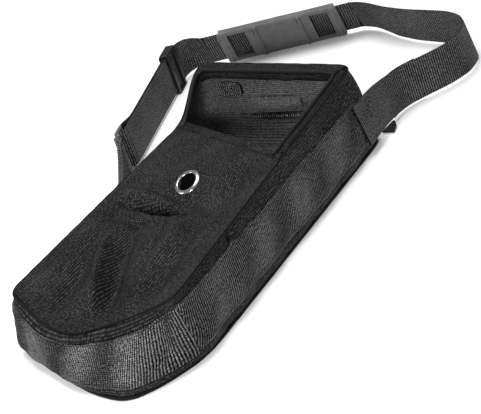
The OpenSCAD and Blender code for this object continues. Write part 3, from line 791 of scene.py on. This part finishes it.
def front_hem():
    rows, cols = 14, 220
    share = HEM_W / (BAG_L - (HEM_DROP_LEFT + HEM_DROP_RIGHT) / 2)
    top, uv = front_grid(1 - share, 1.0, rows, cols, 2 * FABRIC)
    low, _ = front_grid(1 - share, 1.0, rows, cols, FABRIC + SEAM)
    w = np.linspace(0, 1, rows)[:, None]
    round_off = 1.1 * bell(w, 1, 0.06) + 1.0 * bell(w, 0, 0.05)
    groove = 0.5 * bell(w, 0.2, 0.07)
    top[..., 2] -= round_off + groove
    piece = shell("front_hem", top[::-1], low[::-1], uv[::-1, :, ::-1], CLOTH)
    return wear(piece, "bag", "fabric", "front_hem")


def back_panel():
    """The panel that the case lies on: a flat plate of cloth, puffed a little inside its rim."""
    rows, cols = 34, RING_POINTS
    foot = WALL[0]
    middle_y = np.clip(foot[:, 1], -BAG_L / 2 + 20, BAG_L / 2 - 60)
    middle = np.stack([0 * middle_y, middle_y, 0 * middle_y], -1)
    t = np.linspace(0, 1, rows)[:, None, None]
    ring = foot + unit((foot - middle) * np.array([1, 1, 0])) * FABRIC
    flat = lerp(middle[None], ring[None], t)
    pillow = 0.8 * (1 + ripples(flat[..., 0], flat[..., 1], 31, 60)) * np.sin(math.pi * t[..., 0]) ** 0.7
    top, low = flat.copy(), flat.copy()
    top[..., 2] = FABRIC + np.clip(pillow, 0, 2.6)
    low[..., 2] = 0.0
    rim = np.concatenate([grid_quads(rows, cols, wrap=True), grid_quads(rows, cols, rows * cols, True, True)])
    last = (rows - 1) * cols + np.arange(cols)
    ahead = (rows - 1) * cols + (np.arange(cols) + 1) % cols
    first, second = np.arange(cols), (np.arange(cols) + 1) % cols
    sides = np.stack([last, last + rows * cols, ahead + rows * cols, ahead], -1)
    inner = np.stack([second, second + rows * cols, first + rows * cols, first], -1)
    faces = np.concatenate([rim, sides[:, ::-1], inner[:, ::-1]])
    points = np.concatenate([top.reshape(-1, 3), low.reshape(-1, 3)])
    uv = points[:, :2] * MM
    return wear(build("back_panel", points, faces, LINING, uv), "bag", "fabric", "back_panel")


# ---- bindings, borders and stitches


def tube_rings(path, radius, closed, tall):
    """Oval sections along a path, tall times as high as they are wide."""
    if closed:
        tangent = unit(np.roll(path, -1, 0) - np.roll(path, 1, 0))
    else:
        tangent = unit(np.gradient(path, axis=0))
    side = unit(np.cross(tangent, [0, 0, 1.0]))
    top = np.cross(side, tangent)
    sides = 12
    q = 2 * math.pi * (np.arange(sides) + 0.5)[None, :, None] / sides
    radius = np.broadcast_to(radius, len(path))[:, None, None]
    return path[:, None] + radius * (side[:, None] * np.cos(q) + tall * top[:, None] * np.sin(q))


def piping(name, ring, out, up, radius):
    """A folded strip over a seam, all round the bag."""
    tangent = unit((np.roll(ring, -1, 0) - np.roll(ring, 1, 0)) * np.array([1, 1, 0]))
    outwards = np.stack([-tangent[:, 1], tangent[:, 0], 0 * tangent[:, 0]], -1)
    wobble = 0.18 * ripples(np.arange(len(ring)) * 2.0, 0 * ring[:, 0], 41, 24)
    path = ring + outwards * out + np.array([0, 0, 1]) * (up + wobble)[:, None]
    rings = tube_rings(path, radius * (1 + 0.06 * wobble), True, 1.15)
    return wear(swept(name, rings, None, CLOTH, closed=True), "bag", "binding", name)


def border_strip(name, k, s0, s1, cols, bands, flange):
    """Border of the mouth on side k: bands run along it, and its inner edge turns down by flange."""
    s = np.linspace(s0, s1, cols)
    outer, inner = ring_pick(EDGE, k, s), ring_pick(INSET, k, s)
    inward = unit((inner - outer) * np.array([1, 1, 0]))
    width = np.linalg.norm((inner - outer)[:, :2], axis=1)
    rows = 44
    w = np.linspace(0, 1, rows)[:, None]
    flat_part = 0.62
    along = np.minimum(w / flat_part, 1) * (width[None, :] + FABRIC) - FABRIC
    drop = np.maximum(0, (w - flat_part) / (1 - flat_part)) * flange
    band = 1.9 * np.abs(np.sin(math.pi * bands * w)) ** 0.6
    folds = 0.9 * ripples(s[None, :] * 200, w * 20, 51 + k, 32)
    upwards = np.array([0, 0, 1]) * (SEAM + FABRIC - drop)[..., None]
    base = outer[None] + inward[None] * along[..., None] + upwards
    turn = smooth_step(w, flat_part - 0.06, flat_part + 0.06)[..., None]
    facing = unit(lerp(np.array([0, 0, 1.0]) + 0 * base, inward[None] + 0 * base, turn))
    top = base + facing * (band - 0.9 + folds * 0.6)[..., None]
    low = base - facing * (FABRIC - 0.2)
    uv = weave_uv(w * (width.mean() + flange), s[None, :] * 210)
    return wear(shell(name, top[:, ::-1], low[:, ::-1], uv[:, ::-1], RIM_CLOTH), "bag", "fabric", name)


def mouth_rows():
    """The inner edge of the mouth's border from the right end of the hem round to the left."""
    share, end_gap = (BORDER_SIDE + 2) / BAG_W, 1.8
    right_end, left_end = hem_y(share) + end_gap, hem_y(1 - share) + end_gap
    right = ring_pick(INSET, 0, np.linspace((BAG_L / 2 - right_end) / BAG_L, 0, 90))
    top = ring_pick(INSET, 3, np.linspace(1, 0, 110)[1:])
    left = ring_pick(INSET, 2, np.linspace(1, (BAG_L / 2 + left_end) / BAG_L, 40)[1:])
    return np.concatenate([right, top, left])


def mouth_binding():
    path = mouth_rows() + np.array([0, 0, FABRIC + 0.4])
    rings = tube_rings(path, 2.0, False, 1.2)
    return wear(swept("mouth_binding", rings, None, GLOSS), "bag", "binding", "mouth_binding")


def stitches(name, path, normal):
    """A row of separate stitches along a path of points, lying on a surface with those normals."""
    pitch, length, radius, sides = 3.4, 2.3, 0.32, 6
    stations = ((-0.1, 0.25), (0.15, 1), (0.85, 1), (1.1, 0.25))
    run = run_of(path)
    points, faces = [], []

    def pick(rows, at):
        return np.array([np.interp(at, run, rows[:, c]) for c in range(3)])

    for at in np.arange(pitch / 2, run[-1], pitch):
        ends = [pick(path, at - length / 2), pick(path, at + length / 2)]
        out = unit(pick(normal, at))
        side = np.cross(unit(ends[1] - ends[0]), out)
        base = len(points)
        for share, size in stations:
            centre = lerp(ends[0], ends[1], share)
            for q in range(sides):
                a = 2 * math.pi * q / sides
                points.append(centre + size * radius * (side * math.cos(a) + out * (math.sin(a) + 0.4)))
        faces += grid_quads(len(stations), sides, base, wrap=True).tolist()
        faces.append(tuple(base + q for q in range(sides))[::-1])
        faces.append(tuple(base + (len(stations) - 1) * sides + q for q in range(sides)))
    return wear(build(name, points, faces, THREAD), "bag", "thread")


def wall_stitches(name, k, edge, inset):
    """A row of stitches on side k, inset from the low or the high edge of its webbing."""
    s = np.linspace(0.02, 0.98, 160)
    low, high = web_share(k)
    height = np.linalg.norm(edge_point(k, s) - foot_point(k, s), axis=-1)
    v = low(s) + inset / height if edge == "low" else high(s) - inset / height
    path = wall_pick(k, s, v, np.full(len(s), FABRIC + SEAM + WEB_T + 0.1))
    return stitches(name, path, unit(path - wall_pick(k, s, v, np.zeros(len(s)))))


# ---- the strap: its route in plan and its lean towards the bag, in the CAD's own places

PAD_L, PAD_W = 160.0, 57.0
STRAP_Z = PAD_W / 2 + 0.3
STRAP_AT = np.array([BAG_W / 2 + LEAN - 2.4, BAG_L / 2 + FABRIC + SEAM + WEB_T + SEAM])
PAD_MID = STRAP_AT + np.array([-244, 209])
PAD_DIR = np.array([-0.927, -0.376]) / math.hypot(0.927, 0.376)
STRAIGHT = PAD_L / 2 + 19
PAD_FROM, PAD_TO = PAD_MID - PAD_DIR * STRAIGHT, PAD_MID + PAD_DIR * STRAIGHT
RUN_DIR = np.array([0.259, -0.966]) / math.hypot(0.259, 0.966)
RUN_FROM = np.array([-BAG_W / 2 - 145, BAG_L / 2 + 140])
RUN_L = 200.0
RUN_TO = RUN_FROM + RUN_DIR * RUN_L
FAR_LEAN = 25.0
STRAP_STEP = 0.6  # between the strap's sections


def strap_route():
    """Rows of x, y and lean in degrees from the sewn end to the ring, each stretch from its own place."""
    start = [
        (4.4, -46, 10), (3.6, -10, 10), (1.8, 14, 7), (0.2, 32, 3), (3.4, 56, 0), (20, 80, 0), (39, 104, 0),
        (51, 132, 2), (48, 162, 6), (32, 184, 8), (8, 197, 9), (-22, 203, 10), (-56, 210, 12), (-90, 222, 15),
    ]
    to_pad = [(34, -9, 19), (15, -1, 23), (0, 0, FAR_LEAN)]
    from_pad = [(0, 0, FAR_LEAN), (-16, -1, 20), (-27, -9, 12)]
    to_run, end = [(-2, 14, 4), (0, 0, 0)], [(0, 0, 0)]
    stretches = ((STRAP_AT, start), (PAD_FROM, to_pad), (PAD_TO, from_pad), (RUN_FROM, to_run), (RUN_TO, end))
    return np.array([(at[0] + x, at[1] + y, lean) for at, rows in stretches for x, y, lean in rows], float)


def even_steps(points, step):
    """A row of points at even steps along a polyline, and their distances from its start."""
    run = run_of(points[:, :2])
    at = np.arange(0, run[-1], step)
    return np.stack([np.interp(at, run, points[:, c]) for c in range(points.shape[1])], -1), at


def ribbon(name, route, n_mid=0.0, lift=0.0, thick=WEB_T):
    """Webbing on its edge along a route of x, y and lean, n_mid across from it and lifted by lift."""
    t = unit(np.gradient(route[:, :2], axis=0))
    lean = np.radians(route[:, 2])
    across = np.stack([-t[:, 1] * np.cos(lean), t[:, 0] * np.cos(lean), -np.sin(lean)], -1)
    up = np.stack([-t[:, 1] * np.sin(lean), t[:, 0] * np.sin(lean), np.cos(lean)], -1)
    run = (np.arange(len(route)) * STRAP_STEP)[:, None]
    count, half, round_at, rib_h = 24, WEB_W / 2, 0.5, 0.5
    face = np.linspace(-1, 1, count) * (half - round_at)
    w = np.concatenate([face, [half], -face, [-half]])[None, :]
    side = np.concatenate([np.ones(count), [0], -np.ones(count), [0]])[None, :]
    edge = np.clip((half - np.abs(w)) / 2.0, 0, 1)
    relief = ribs(run, w, RIB_PITCH, 0.0, rib_h) * edge
    n = side * (thick / 2 - rib_h * edge + relief - 0.25 * (1 - edge))
    middle = np.stack([route[:, 0], route[:, 1], STRAP_Z + lift + 0 * lean], -1)
    points = middle[:, None] + across[:, None] * (n_mid + n)[..., None] + up[:, None] * w[..., None]
    return wear(swept(name, points, weave_uv(run, w), WEBBING), "bag", "webbing", name)


def strap_rows():
    """The strap's route, rounded everywhere but along the straight stretch that the pad slides on."""
    raw, run = even_steps(strap_route(), STRAP_STEP)
    soft = row_smooth(raw, 7.0, STRAP_STEP)
    beyond = np.abs((raw[:, :2] - PAD_MID) @ PAD_DIR) - STRAIGHT
    return lerp(raw, soft, smooth_step(beyond, 0, 10)[:, None]), run


def strap():
    """The strap. Its start is lifted, where it lies over the right wall's webbing."""
    route, run = strap_rows()
    return ribbon("strap", route, lift=9 * (1 - smooth_step(run, 30, 105)))


def strap_sewn_end():
    route, run = strap_rows()
    sewn_from, sewn_to = 76, 129
    return ribbon("strap_sewn_end", route[(run > sewn_from) & (run < sewn_to)], n_mid=WEB_T + SEAM + 0.25)


RING_D, RING_PITCH = 4.0, 18.0
RING_SWING = 6  # degrees each way
FREE_GAP = 0.3
SLACK = RING_PITCH * math.sin(math.radians(RING_SWING)) + FREE_GAP
LOOP_R = RING_D / 2 + SLACK
LOOP_N = WEB_T / 2 + LOOP_R
LOOP_AT = RUN_L + LOOP_R + FREE_GAP
LAYER_N = WEB_T + FREE_GAP + SEAM
SLIDER_AT = 14.0


def on_run(local):
    """Places [along, across] in the strap's last run as x, y."""
    left = np.array([-RUN_DIR[1], RUN_DIR[0]])
    return RUN_FROM + local[:, :1] * RUN_DIR + local[:, 1:2] * left


def strap_end_loop():
    radius = LOOP_R + WEB_T / 2
    turns = np.radians(np.linspace(-90, 90, 13))
    arc = [(LOOP_AT + radius * math.cos(q), radius * math.sin(q) - LOOP_N) for q in turns]
    second = [(SLIDER_AT + 2, -LAYER_N), (LOOP_AT - 46, -LAYER_N), (LOOP_AT - 30, -LAYER_N - 0.6)]
    local = np.array(second + [(LOOP_AT - 14, -2 * LOOP_N + 1.4)] + arc + [(RUN_L + 0.4, 0)])
    route, _ = even_steps(np.concatenate([on_run(local), 0 * local[:, :1]], 1), STRAP_STEP)
    piece = ribbon("strap_end_loop", row_smooth(route, 1.2, STRAP_STEP), thick=WEB_T - 0.1)
    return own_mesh(piece)


# ---- anchor: webbing folded round the ring's bar, pinched, and sewn to the bag's left side

ANCHOR_Y = 24.0
ANCHOR_AT = on_run(np.array([[LOOP_AT + RING_PITCH, -LOOP_N]]))[0]
ANCHOR_GOAL = np.array([-BAG_W / 2 - LEAN - FABRIC - SEAM - WEB_T, ANCHOR_Y])
ANCHOR_AIM = (ANCHOR_GOAL - ANCHOR_AT) / np.linalg.norm(ANCHOR_GOAL - ANCHOR_AT)


def anchor_webbing():
    """Both layers from the ring: a loop round the bar, then a pinched neck that widens to the bag."""
    left = np.array([-ANCHOR_AIM[1], ANCHOR_AIM[0]])
    reach = np.linalg.norm(ANCHOR_GOAL - ANCHOR_AT) - 1.0
    loop = RING_D / 2 + FREE_GAP + WEB_T / 2 + 0.15
    arc = np.radians(np.linspace(75, 285, 25))
    tail = np.linspace(9, reach, 150)
    spread = 1.35 + 0.5 * smooth_step(tail, reach - 30, reach)
    turned = loop * np.stack([np.cos(arc), np.sin(arc)], -1)
    local = np.concatenate([np.stack([tail, spread], -1)[::-1], turned, np.stack([tail, -spread], -1)])
    local, at = even_steps(local, 0.7)
    tangent = unit(np.gradient(local, axis=0))
    outwards = np.stack([tangent[:, 1], -tangent[:, 0]], -1)
    along = np.clip(local[:, 0], 0, reach)
    wide, pinched = 22, 9.5
    neck = np.sin(math.pi * np.clip(along / reach, 0, 1)) ** 0.8
    half = wide - pinched * neck + 1.5 * smooth_step(along, 0.7 * reach, reach)
    mid_z = STRAP_Z - 2.5 * np.sin(math.pi * along / reach)
    w = np.linspace(-1, 1, 40)
    pinch = (wide - half) / pinched
    pleats = 2.3 * np.cos(3.2 * math.pi * w + 0.5) + 1.2 * np.cos(6.1 * math.pi * w)
    gather = pinch[:, None] * pleats[None, :]
    relief = ribs(at[:, None], w[None, :] * wide, RIB_PITCH, 0.0, 0.45)
    thick = WEB_T - 0.2

    def face(shift):
        n = shift + gather
        flat = local[:, None, :] + outwards[:, None, :] * n[..., None]
        xy = ANCHOR_AT + flat[..., :1] * ANCHOR_AIM + flat[..., 1:] * left
        z = mid_z[:, None] + half[:, None] * w[None, :]
        return np.concatenate([xy, z[..., None]], -1)

    outer, inner = face(relief + thick / 2 - 0.3), face(0 * relief - thick / 2)
    piece = shell("anchor_webbing", outer, inner, weave_uv(at[:, None], w[None, :] * wide), WEBBING)
    return wear(piece, "bag", "webbing", "anchor_webbing")


def anchor_foot():
    """The anchor's sewn foot: a fold of cloth lying on the left side's webbing."""
    cols, rows = 60, 40
    t, h = np.linspace(0, 1, cols)[None, :], np.linspace(0, 1, rows)[:, None]
    y = lerp(ANCHOR_Y - 30, ANCHOR_Y + 26, t)
    s, v = (y + BAG_L / 2) / BAG_L, lerp(0.12, 0.8, h)
    fold = bell(y, ANCHOR_Y, 9) * np.sin(math.pi * h) ** 0.5
    puff = 8.5 * fold + 0.5 * ripples(y, v * 60, 61, 14)
    rim = np.minimum(1, 10 * np.minimum(t, 1 - t))
    base = FABRIC + SEAM + WEB_T + 0.2
    outer = wall_pick(2, s, v, base + 0.6 + np.clip(puff, 0, 20) * rim)
    inner = wall_pick(2, s, v, base + 0 * puff)
    piece = wear(shell("anchor_foot", outer, inner, weave_uv(y, v * 60), CLOTH), "bag", "fabric")
    return piece


# ---- moulded pieces


def local_frame(mid, direction, lean):
    """The turn from a strap piece's own frame (along, across, up the width) to the case's."""
    t, a = np.array(direction), math.radians(lean)
    across = np.array([-t[1] * math.cos(a), t[0] * math.cos(a), -math.sin(a)])
    up = np.array([-t[1] * math.sin(a), t[0] * math.sin(a), math.cos(a)])
    return np.array([mid[0], mid[1], STRAP_Z]), np.stack([np.array([t[0], t[1], 0]), across, up])


def place(points, where):
    return where[0] + np.asarray(points) @ where[1]


def rounded_block(low, high, radius, steps=5):
    """Points and faces of a block with rounded edges: a cube of patches pushed out to its form."""
    low, high = np.array(low, float), np.array(high, float)
    radius = min(radius, 0.49 * (high - low).min())
    core = (high - low) / 2 - radius
    turn = np.linspace(-1, 1, 2 * steps)
    a, b = np.meshgrid(turn, turn)
    one = np.ones_like(a)
    points, faces = [], []
    for axis in range(3):
        for sign in (-1, 1):
            patch = np.roll(np.stack([one * sign, a, b], -1), axis, axis=-1)
            ball = unit(np.tan(patch * math.pi / 4))
            corner = np.sign(np.where(np.abs(patch) < 1e-9, 1, patch)) * core
            grid = corner + ball * radius + (low + high) / 2
            faces.append(grid_quads(len(turn), len(turn), len(points) * grid.shape[0] ** 2, flip=sign < 0))
            points.append(grid.reshape(-1, 3))
    return np.concatenate(points), np.concatenate(faces)


def join_blocks(blocks):
    points, faces, count = [], [], 0
    for block_points, block_faces in blocks:
        points.append(block_points)
        faces.append(block_faces + count)
        count += len(block_points)
    return np.concatenate(points), np.concatenate(faces)


SLIDER_BAR = 3.2
SLIDER_BACK = -LAYER_N - WEB_T / 2 - CLEAR  # where the doubled strap's clearance ends


def slider():
    """Three bars joined by two rails: the outer bars before the strap, the middle one behind it."""
    rail = (PAD_W - WEB_W) / 2 - CLEAR
    front, back, bar = WEB_T / 2 + CLEAR, SLIDER_BACK, SLIDER_BAR
    top, end, end_bar, mid_bar = PAD_W / 2, 15.0, 5, 3
    blocks = [
        rounded_block((-end, front, -top), (-end + end_bar, front + bar, top), 1.4),
        rounded_block((end - end_bar, front, -top), (end, front + bar, top), 1.4),
        rounded_block((-mid_bar, back - bar, -top), (mid_bar, back, top), 1.4),
        rounded_block((-end, back - bar, -top), (end, front + bar, -top + rail), 1.5),
        rounded_block((-end, back - bar, top - rail), (end, front + bar, top), 1.5),
    ]
    points, faces = join_blocks(blocks)
    where = local_frame(RUN_FROM + RUN_DIR * SLIDER_AT, RUN_DIR, 0)
    return wear(build("slider", place(points, where), faces, ACETAL), "slider", "black_plastic", "slider")


def slider_loop():
    """The slider's own loop of webbing, round its middle bar."""
    face = SLIDER_BACK - SLIDER_BAR - SEAM
    low, high = -9, 15
    x = np.linspace(low, high, 48)[:, None]
    w = np.linspace(-WEB_W / 2, WEB_W / 2, 30)[None, :]
    relief = ribs(x, w, RIB_PITCH, 0, 0.5)
    curl = 0.8 * bell(x, high, 2.5) + 0.8 * bell(x, low, 2.5)
    outer = np.stack(np.broadcast_arrays(x, face - WEB_T + 0.5 - relief + curl, w), -1)
    inner = np.stack(np.broadcast_arrays(x, face + 0 * relief, w), -1)
    where = local_frame(RUN_FROM + RUN_DIR * SLIDER_AT, RUN_DIR, 0)
    piece = shell("slider_loop", place(outer, where), place(inner, where), weave_uv(x, w), WEBBING)
    return wear(piece, "slider", "webbing", "slider_loop")


def shoulder_pad():
    """Moulded pad: end bars, open slots with thin rails, a ribbed body with two cross ridges and nubs."""
    half_l, half_w = PAD_L / 2, PAD_W / 2
    front = WEB_T / 2 + CLEAR
    plate, bar, slot, corner = 3.4, 13.0, 24.0, 5.0
    slot_half = (WEB_W - 4) / 2
    body = half_l - bar - slot
    x = np.unique(np.concatenate([np.linspace(-half_l, half_l, 321), [-half_l + bar, half_l - bar]]))
    z = np.unique(np.concatenate([np.linspace(-half_w, half_w, 115), [-slot_half, slot_half]]))
    x, z = np.meshgrid(x, z, indexing="ij")
    far_x, far_z = np.abs(x), np.abs(z)
    height = np.full(x.shape, plate)
    groove = 1.3 * (0.5 + 0.5 * np.cos(2 * math.pi * z / 5.2)) ** 2
    height -= np.where((far_x < body) & (far_z < half_w - 5), groove, 0)
    for ridge_x in (-body + 14, body - 14):
        height += 2.4 * np.exp(-((x - ridge_x) / 2.0) ** 4) * (far_z < half_w - 1)
        nub = (np.abs(x - ridge_x - 5.5) < 2.4) & (np.abs(z - (half_w - 10)) < 2.4)
        height += np.where(nub, 2.0, 0)
    ripple = np.abs(np.sin(math.pi * (far_x - half_l) / 6.5)) ** 6
    height += np.where(far_x > half_l - bar, 1.0 - 0.9 * ripple, 0)
    edge = np.minimum(half_w - far_z, half_l - far_x)
    height -= 1.1 * np.clip(1 - edge / 1.3, 0, 1) ** 2
    past_x, past_z = np.maximum(0, far_x - half_l + corner), np.maximum(0, far_z - half_w + corner)
    radius = np.hypot(past_x, past_z)
    pull_in = (radius > corner) & (past_x > 0) & (past_z > 0)
    squeeze = np.where(pull_in, corner / np.maximum(radius, 1e-6), 1)
    round_x = np.sign(x) * (far_x - past_x + past_x * squeeze)
    round_z = np.sign(z) * (far_z - past_z + past_z * squeeze)
    top = np.stack([round_x, front + height, round_z], -1)
    low = np.stack([round_x, np.full(x.shape, front), round_z], -1)
    mid_x, mid_z = np.abs(x[:-1, :-1] + x[1:, 1:]) / 2, np.abs(z[:-1, :-1] + z[1:, 1:]) / 2
    hole = (mid_x > body) & (mid_x < half_l - bar) & (mid_z < slot_half)
    quads = np.roll(grid_quads(*x.shape, flip=True), 1, axis=1)[~hole.ravel()]
    points, faces, _ = holed_plate(top, low, quads)
    blocks = [(points, faces[:, ::-1])]
    rail, keeper, end = half_w - WEB_W / 2 - CLEAR, 1.8, half_l - 3
    for z0 in (-half_w, half_w - rail):
        blocks.append(rounded_block((-end, -front - keeper, z0), (end, front, z0 + rail), 1.2))
    for x0 in (-end, -10, end - bar):
        blocks.append(rounded_block((x0, -front - keeper, -half_w), (x0 + bar, -front, half_w), 0.8))
    points, faces = join_blocks(blocks)
    points = place(points, local_frame(PAD_MID, PAD_DIR, FAR_LEAN))
    piece = build("shoulder_pad", points, faces, RUBBER, sharp=40)
    return wear(piece, "pad", "pad_plastic", "shoulder_pad")


def eyelet():
    """A rolled metal eyelet, turned about its axis."""
    sides = 128
    down, bead = FABRIC + 1.6, 1.6
    barrel_r, crown = HOLE_R + 0.8, HOLE_R + bead
    barrel = [(HOLE_R, -down), (HOLE_R, -0.6)]
    turns = np.linspace(0.1, math.pi / 2, 9)
    roll = [(crown - bead * math.cos(q), -0.1 + 1.9 * math.sin(q)) for q in turns]
    shares = np.linspace(0.12, 0.94, 10)
    dome = [(crown + t * (FLANGE_R - crown), 0.35 + 1.45 * math.cos(t * math.pi / 2) ** 0.9) for t in shares]
    under = [(FLANGE_R, 0.25), (FLANGE_R - 0.2, 0.06), (barrel_r, 0.06), (barrel_r, -down)]
    profile = np.array(barrel + roll + dome + under)
    q = (2 * math.pi * np.arange(sides) / sides)[:, None]
    r, z = profile[None, :, 0], profile[None, :, 1]
    rings = np.stack(np.broadcast_arrays(r * np.cos(q), r * np.sin(q), z), -1)
    points = rings @ EYELET_TURN.T + EYELET_AT
    return wear(swept("eyelet", points, None, NICKEL, closed=True, sharp=60), "bag", "nickel", "eyelet")


# ---- what is sewn inside the mouth end, and the corner tab


def inner_strip(name, material, slot_name, puff, sag, share, ribbed_at=None):
    """A strip on the mouth wall's inner face, in the CAD node's place, that bellies out and droops."""
    low, high = box_mm(name)
    cols, rows = int((high[0] - low[0]) / 0.7), 36
    x = np.linspace(low[0], high[0], cols)[None, :]
    h = np.linspace(0, 1, rows)[:, None]
    t = (x - low[0]) / (high[0] - low[0])
    ends = np.sin(math.pi * t) ** 0.35
    mid = lerp(low[2], high[2], 0.5) - sag * np.sin(math.pi * t)
    z = mid + (h - 0.5) * (high[2] - low[2]) * lerp(0.45, share, ends)
    belly = puff * np.sin(math.pi * h) ** 0.6 * ends + 0.4 * ripples(x, z * 3, 71, 20)
    relief = ribs(x, z, ribbed_at, 0, 0.9) if ribbed_at else 0.55 * np.abs(np.sin(math.pi * 5 * h))
    y = low[1] - np.clip(belly, 0, 30) - relief
    outer = np.stack(np.broadcast_arrays(x, y, z), -1)
    inner = np.stack(np.broadcast_arrays(x, y + 1.4 + relief, z), -1)
    return wear(shell(name, outer, inner, weave_uv(x, z), material), "bag", slot_name, name)


def corner_tab():
    """A folded tongue of cloth at the foot of the mouth's right corner."""
    low, high = box_mm("corner_tab")
    t, h = np.linspace(0, 1, 26)[None, :], np.linspace(0, 1, 26)[:, None]
    x = lerp(low[0], high[0], t * lerp(1, 0.55, h) + 0.25 * h)
    y = lerp(low[1], high[1], h * (1 - 0.25 * (2 * t - 1) ** 2))
    z = low[2] + 2.2 * np.sin(math.pi * t) * h + 1.8 * h
    outer = np.stack(np.broadcast_arrays(x, y, z + FABRIC), -1)
    inner = np.stack(np.broadcast_arrays(x, y, z), -1)
    piece = wear(shell("corner_tab", outer, inner, weave_uv(x, y), CLOTH), "bag", "fabric", "corner_tab")
    return piece


# ---- build it

aim_camera()
studio()

# in each woven cloth the number before the roughness is the glint factor of its painted highlights
CLOTH = woven("nylon", grey(0.001), grey(0.006), 0.0019, 0.0024, 7, 0.56)
LINING = woven("lining", grey(0.03), grey(0.085), 0.0019, 0.0022, 1.8, 0.6)
RIM_CLOTH = woven("rim_cloth", grey(0.001), grey(0.005), 0.0016, 0.0016, 5, 0.5)
WEBBING = ribbed("webbing", grey(0.0006), grey(0.0034), 0.0029, 0.0019, 0.36)
GLOSS = woven("binding", grey(0.006), grey(0.02), 0.0012, 0.0012, 3, 0.28)
THREAD = woven("thread", grey(0.01), grey(0.03), 0.0008, 0.0008, 2, 0.5)
RUBBER = moulded("pad_rubber", grey(0.075), grey(0.1), 0.0009, 0.55)
ACETAL = moulded("black_acetal", grey(0.003), grey(0.006), 0.0007, 0.42)
GREY_ACETAL = moulded("grey_acetal", grey(0.1), grey(0.16), 0.0007, 0.45)
NICKEL = plated("nickel", (0.42, 0.42, 0.41), 0.14)

back_panel()
for side, label in enumerate(("right", "bottom", "left", "top")):
    gusset(side, f"gusset_{label}")
front_panel()
front_hem()
wall_webbing(0, "webbing_right", 420, 0.42, 3.0)
wall_webbing(1, "webbing_bottom", 300, 0.0, 3.0)
wall_webbing(2, "webbing_left", 420, 0.0, 3.0)
piping("front_binding", WALL[-1], FABRIC + 0.5, 0.5, 1.3)
piping("back_binding", WALL[0], FABRIC + 0.9, 0.4, 1.7)
border_strip("mouth_border_left", 2, (BAG_L / 2 + HEM_LEFT_Y + 0.3) / BAG_L, 0.985, 90, 2, 5)
border_strip("mouth_border_top", 3, 0.0, 1.0, 200, 4, 12)
border_strip("mouth_border_right", 0, 0.015, (BAG_L / 2 - HEM_RIGHT_Y - 4.8) / BAG_L, 150, 2, 5)
mouth_binding()
inner_strip("inner_patch", WEBBING, "webbing", puff=1.0, sag=0, share=1.0, ribbed_at=3.0)
inner_strip("inner_band", LINING, "lining", puff=6.0, sag=2.0, share=1.1)
inner_strip("inner_cross_strip", WEBBING, "webbing", puff=4.0, sag=1.5, share=1.0, ribbed_at=3.0)
corner_tab()
eyelet()
strap()
strap_sewn_end()
strap_end_loop()
anchor_webbing()
anchor_foot()
shoulder_pad()
slider()
slider_loop()

for side, label in enumerate(("right", "bottom", "left")):
    for edge in ("low", "high"):
        wall_stitches(f"stitches_{label}_{edge}", side, edge, 3.0)

# these keep their CAD meshes
kept = {"ring": GREY_ACETAL, "eyelet_washer": NICKEL, "join_stitches": THREAD, "anchor_stitches": THREAD}
for node, material in kept.items():
    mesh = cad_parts[node].data
    mesh.materials.clear()
    mesh.materials.append(material)
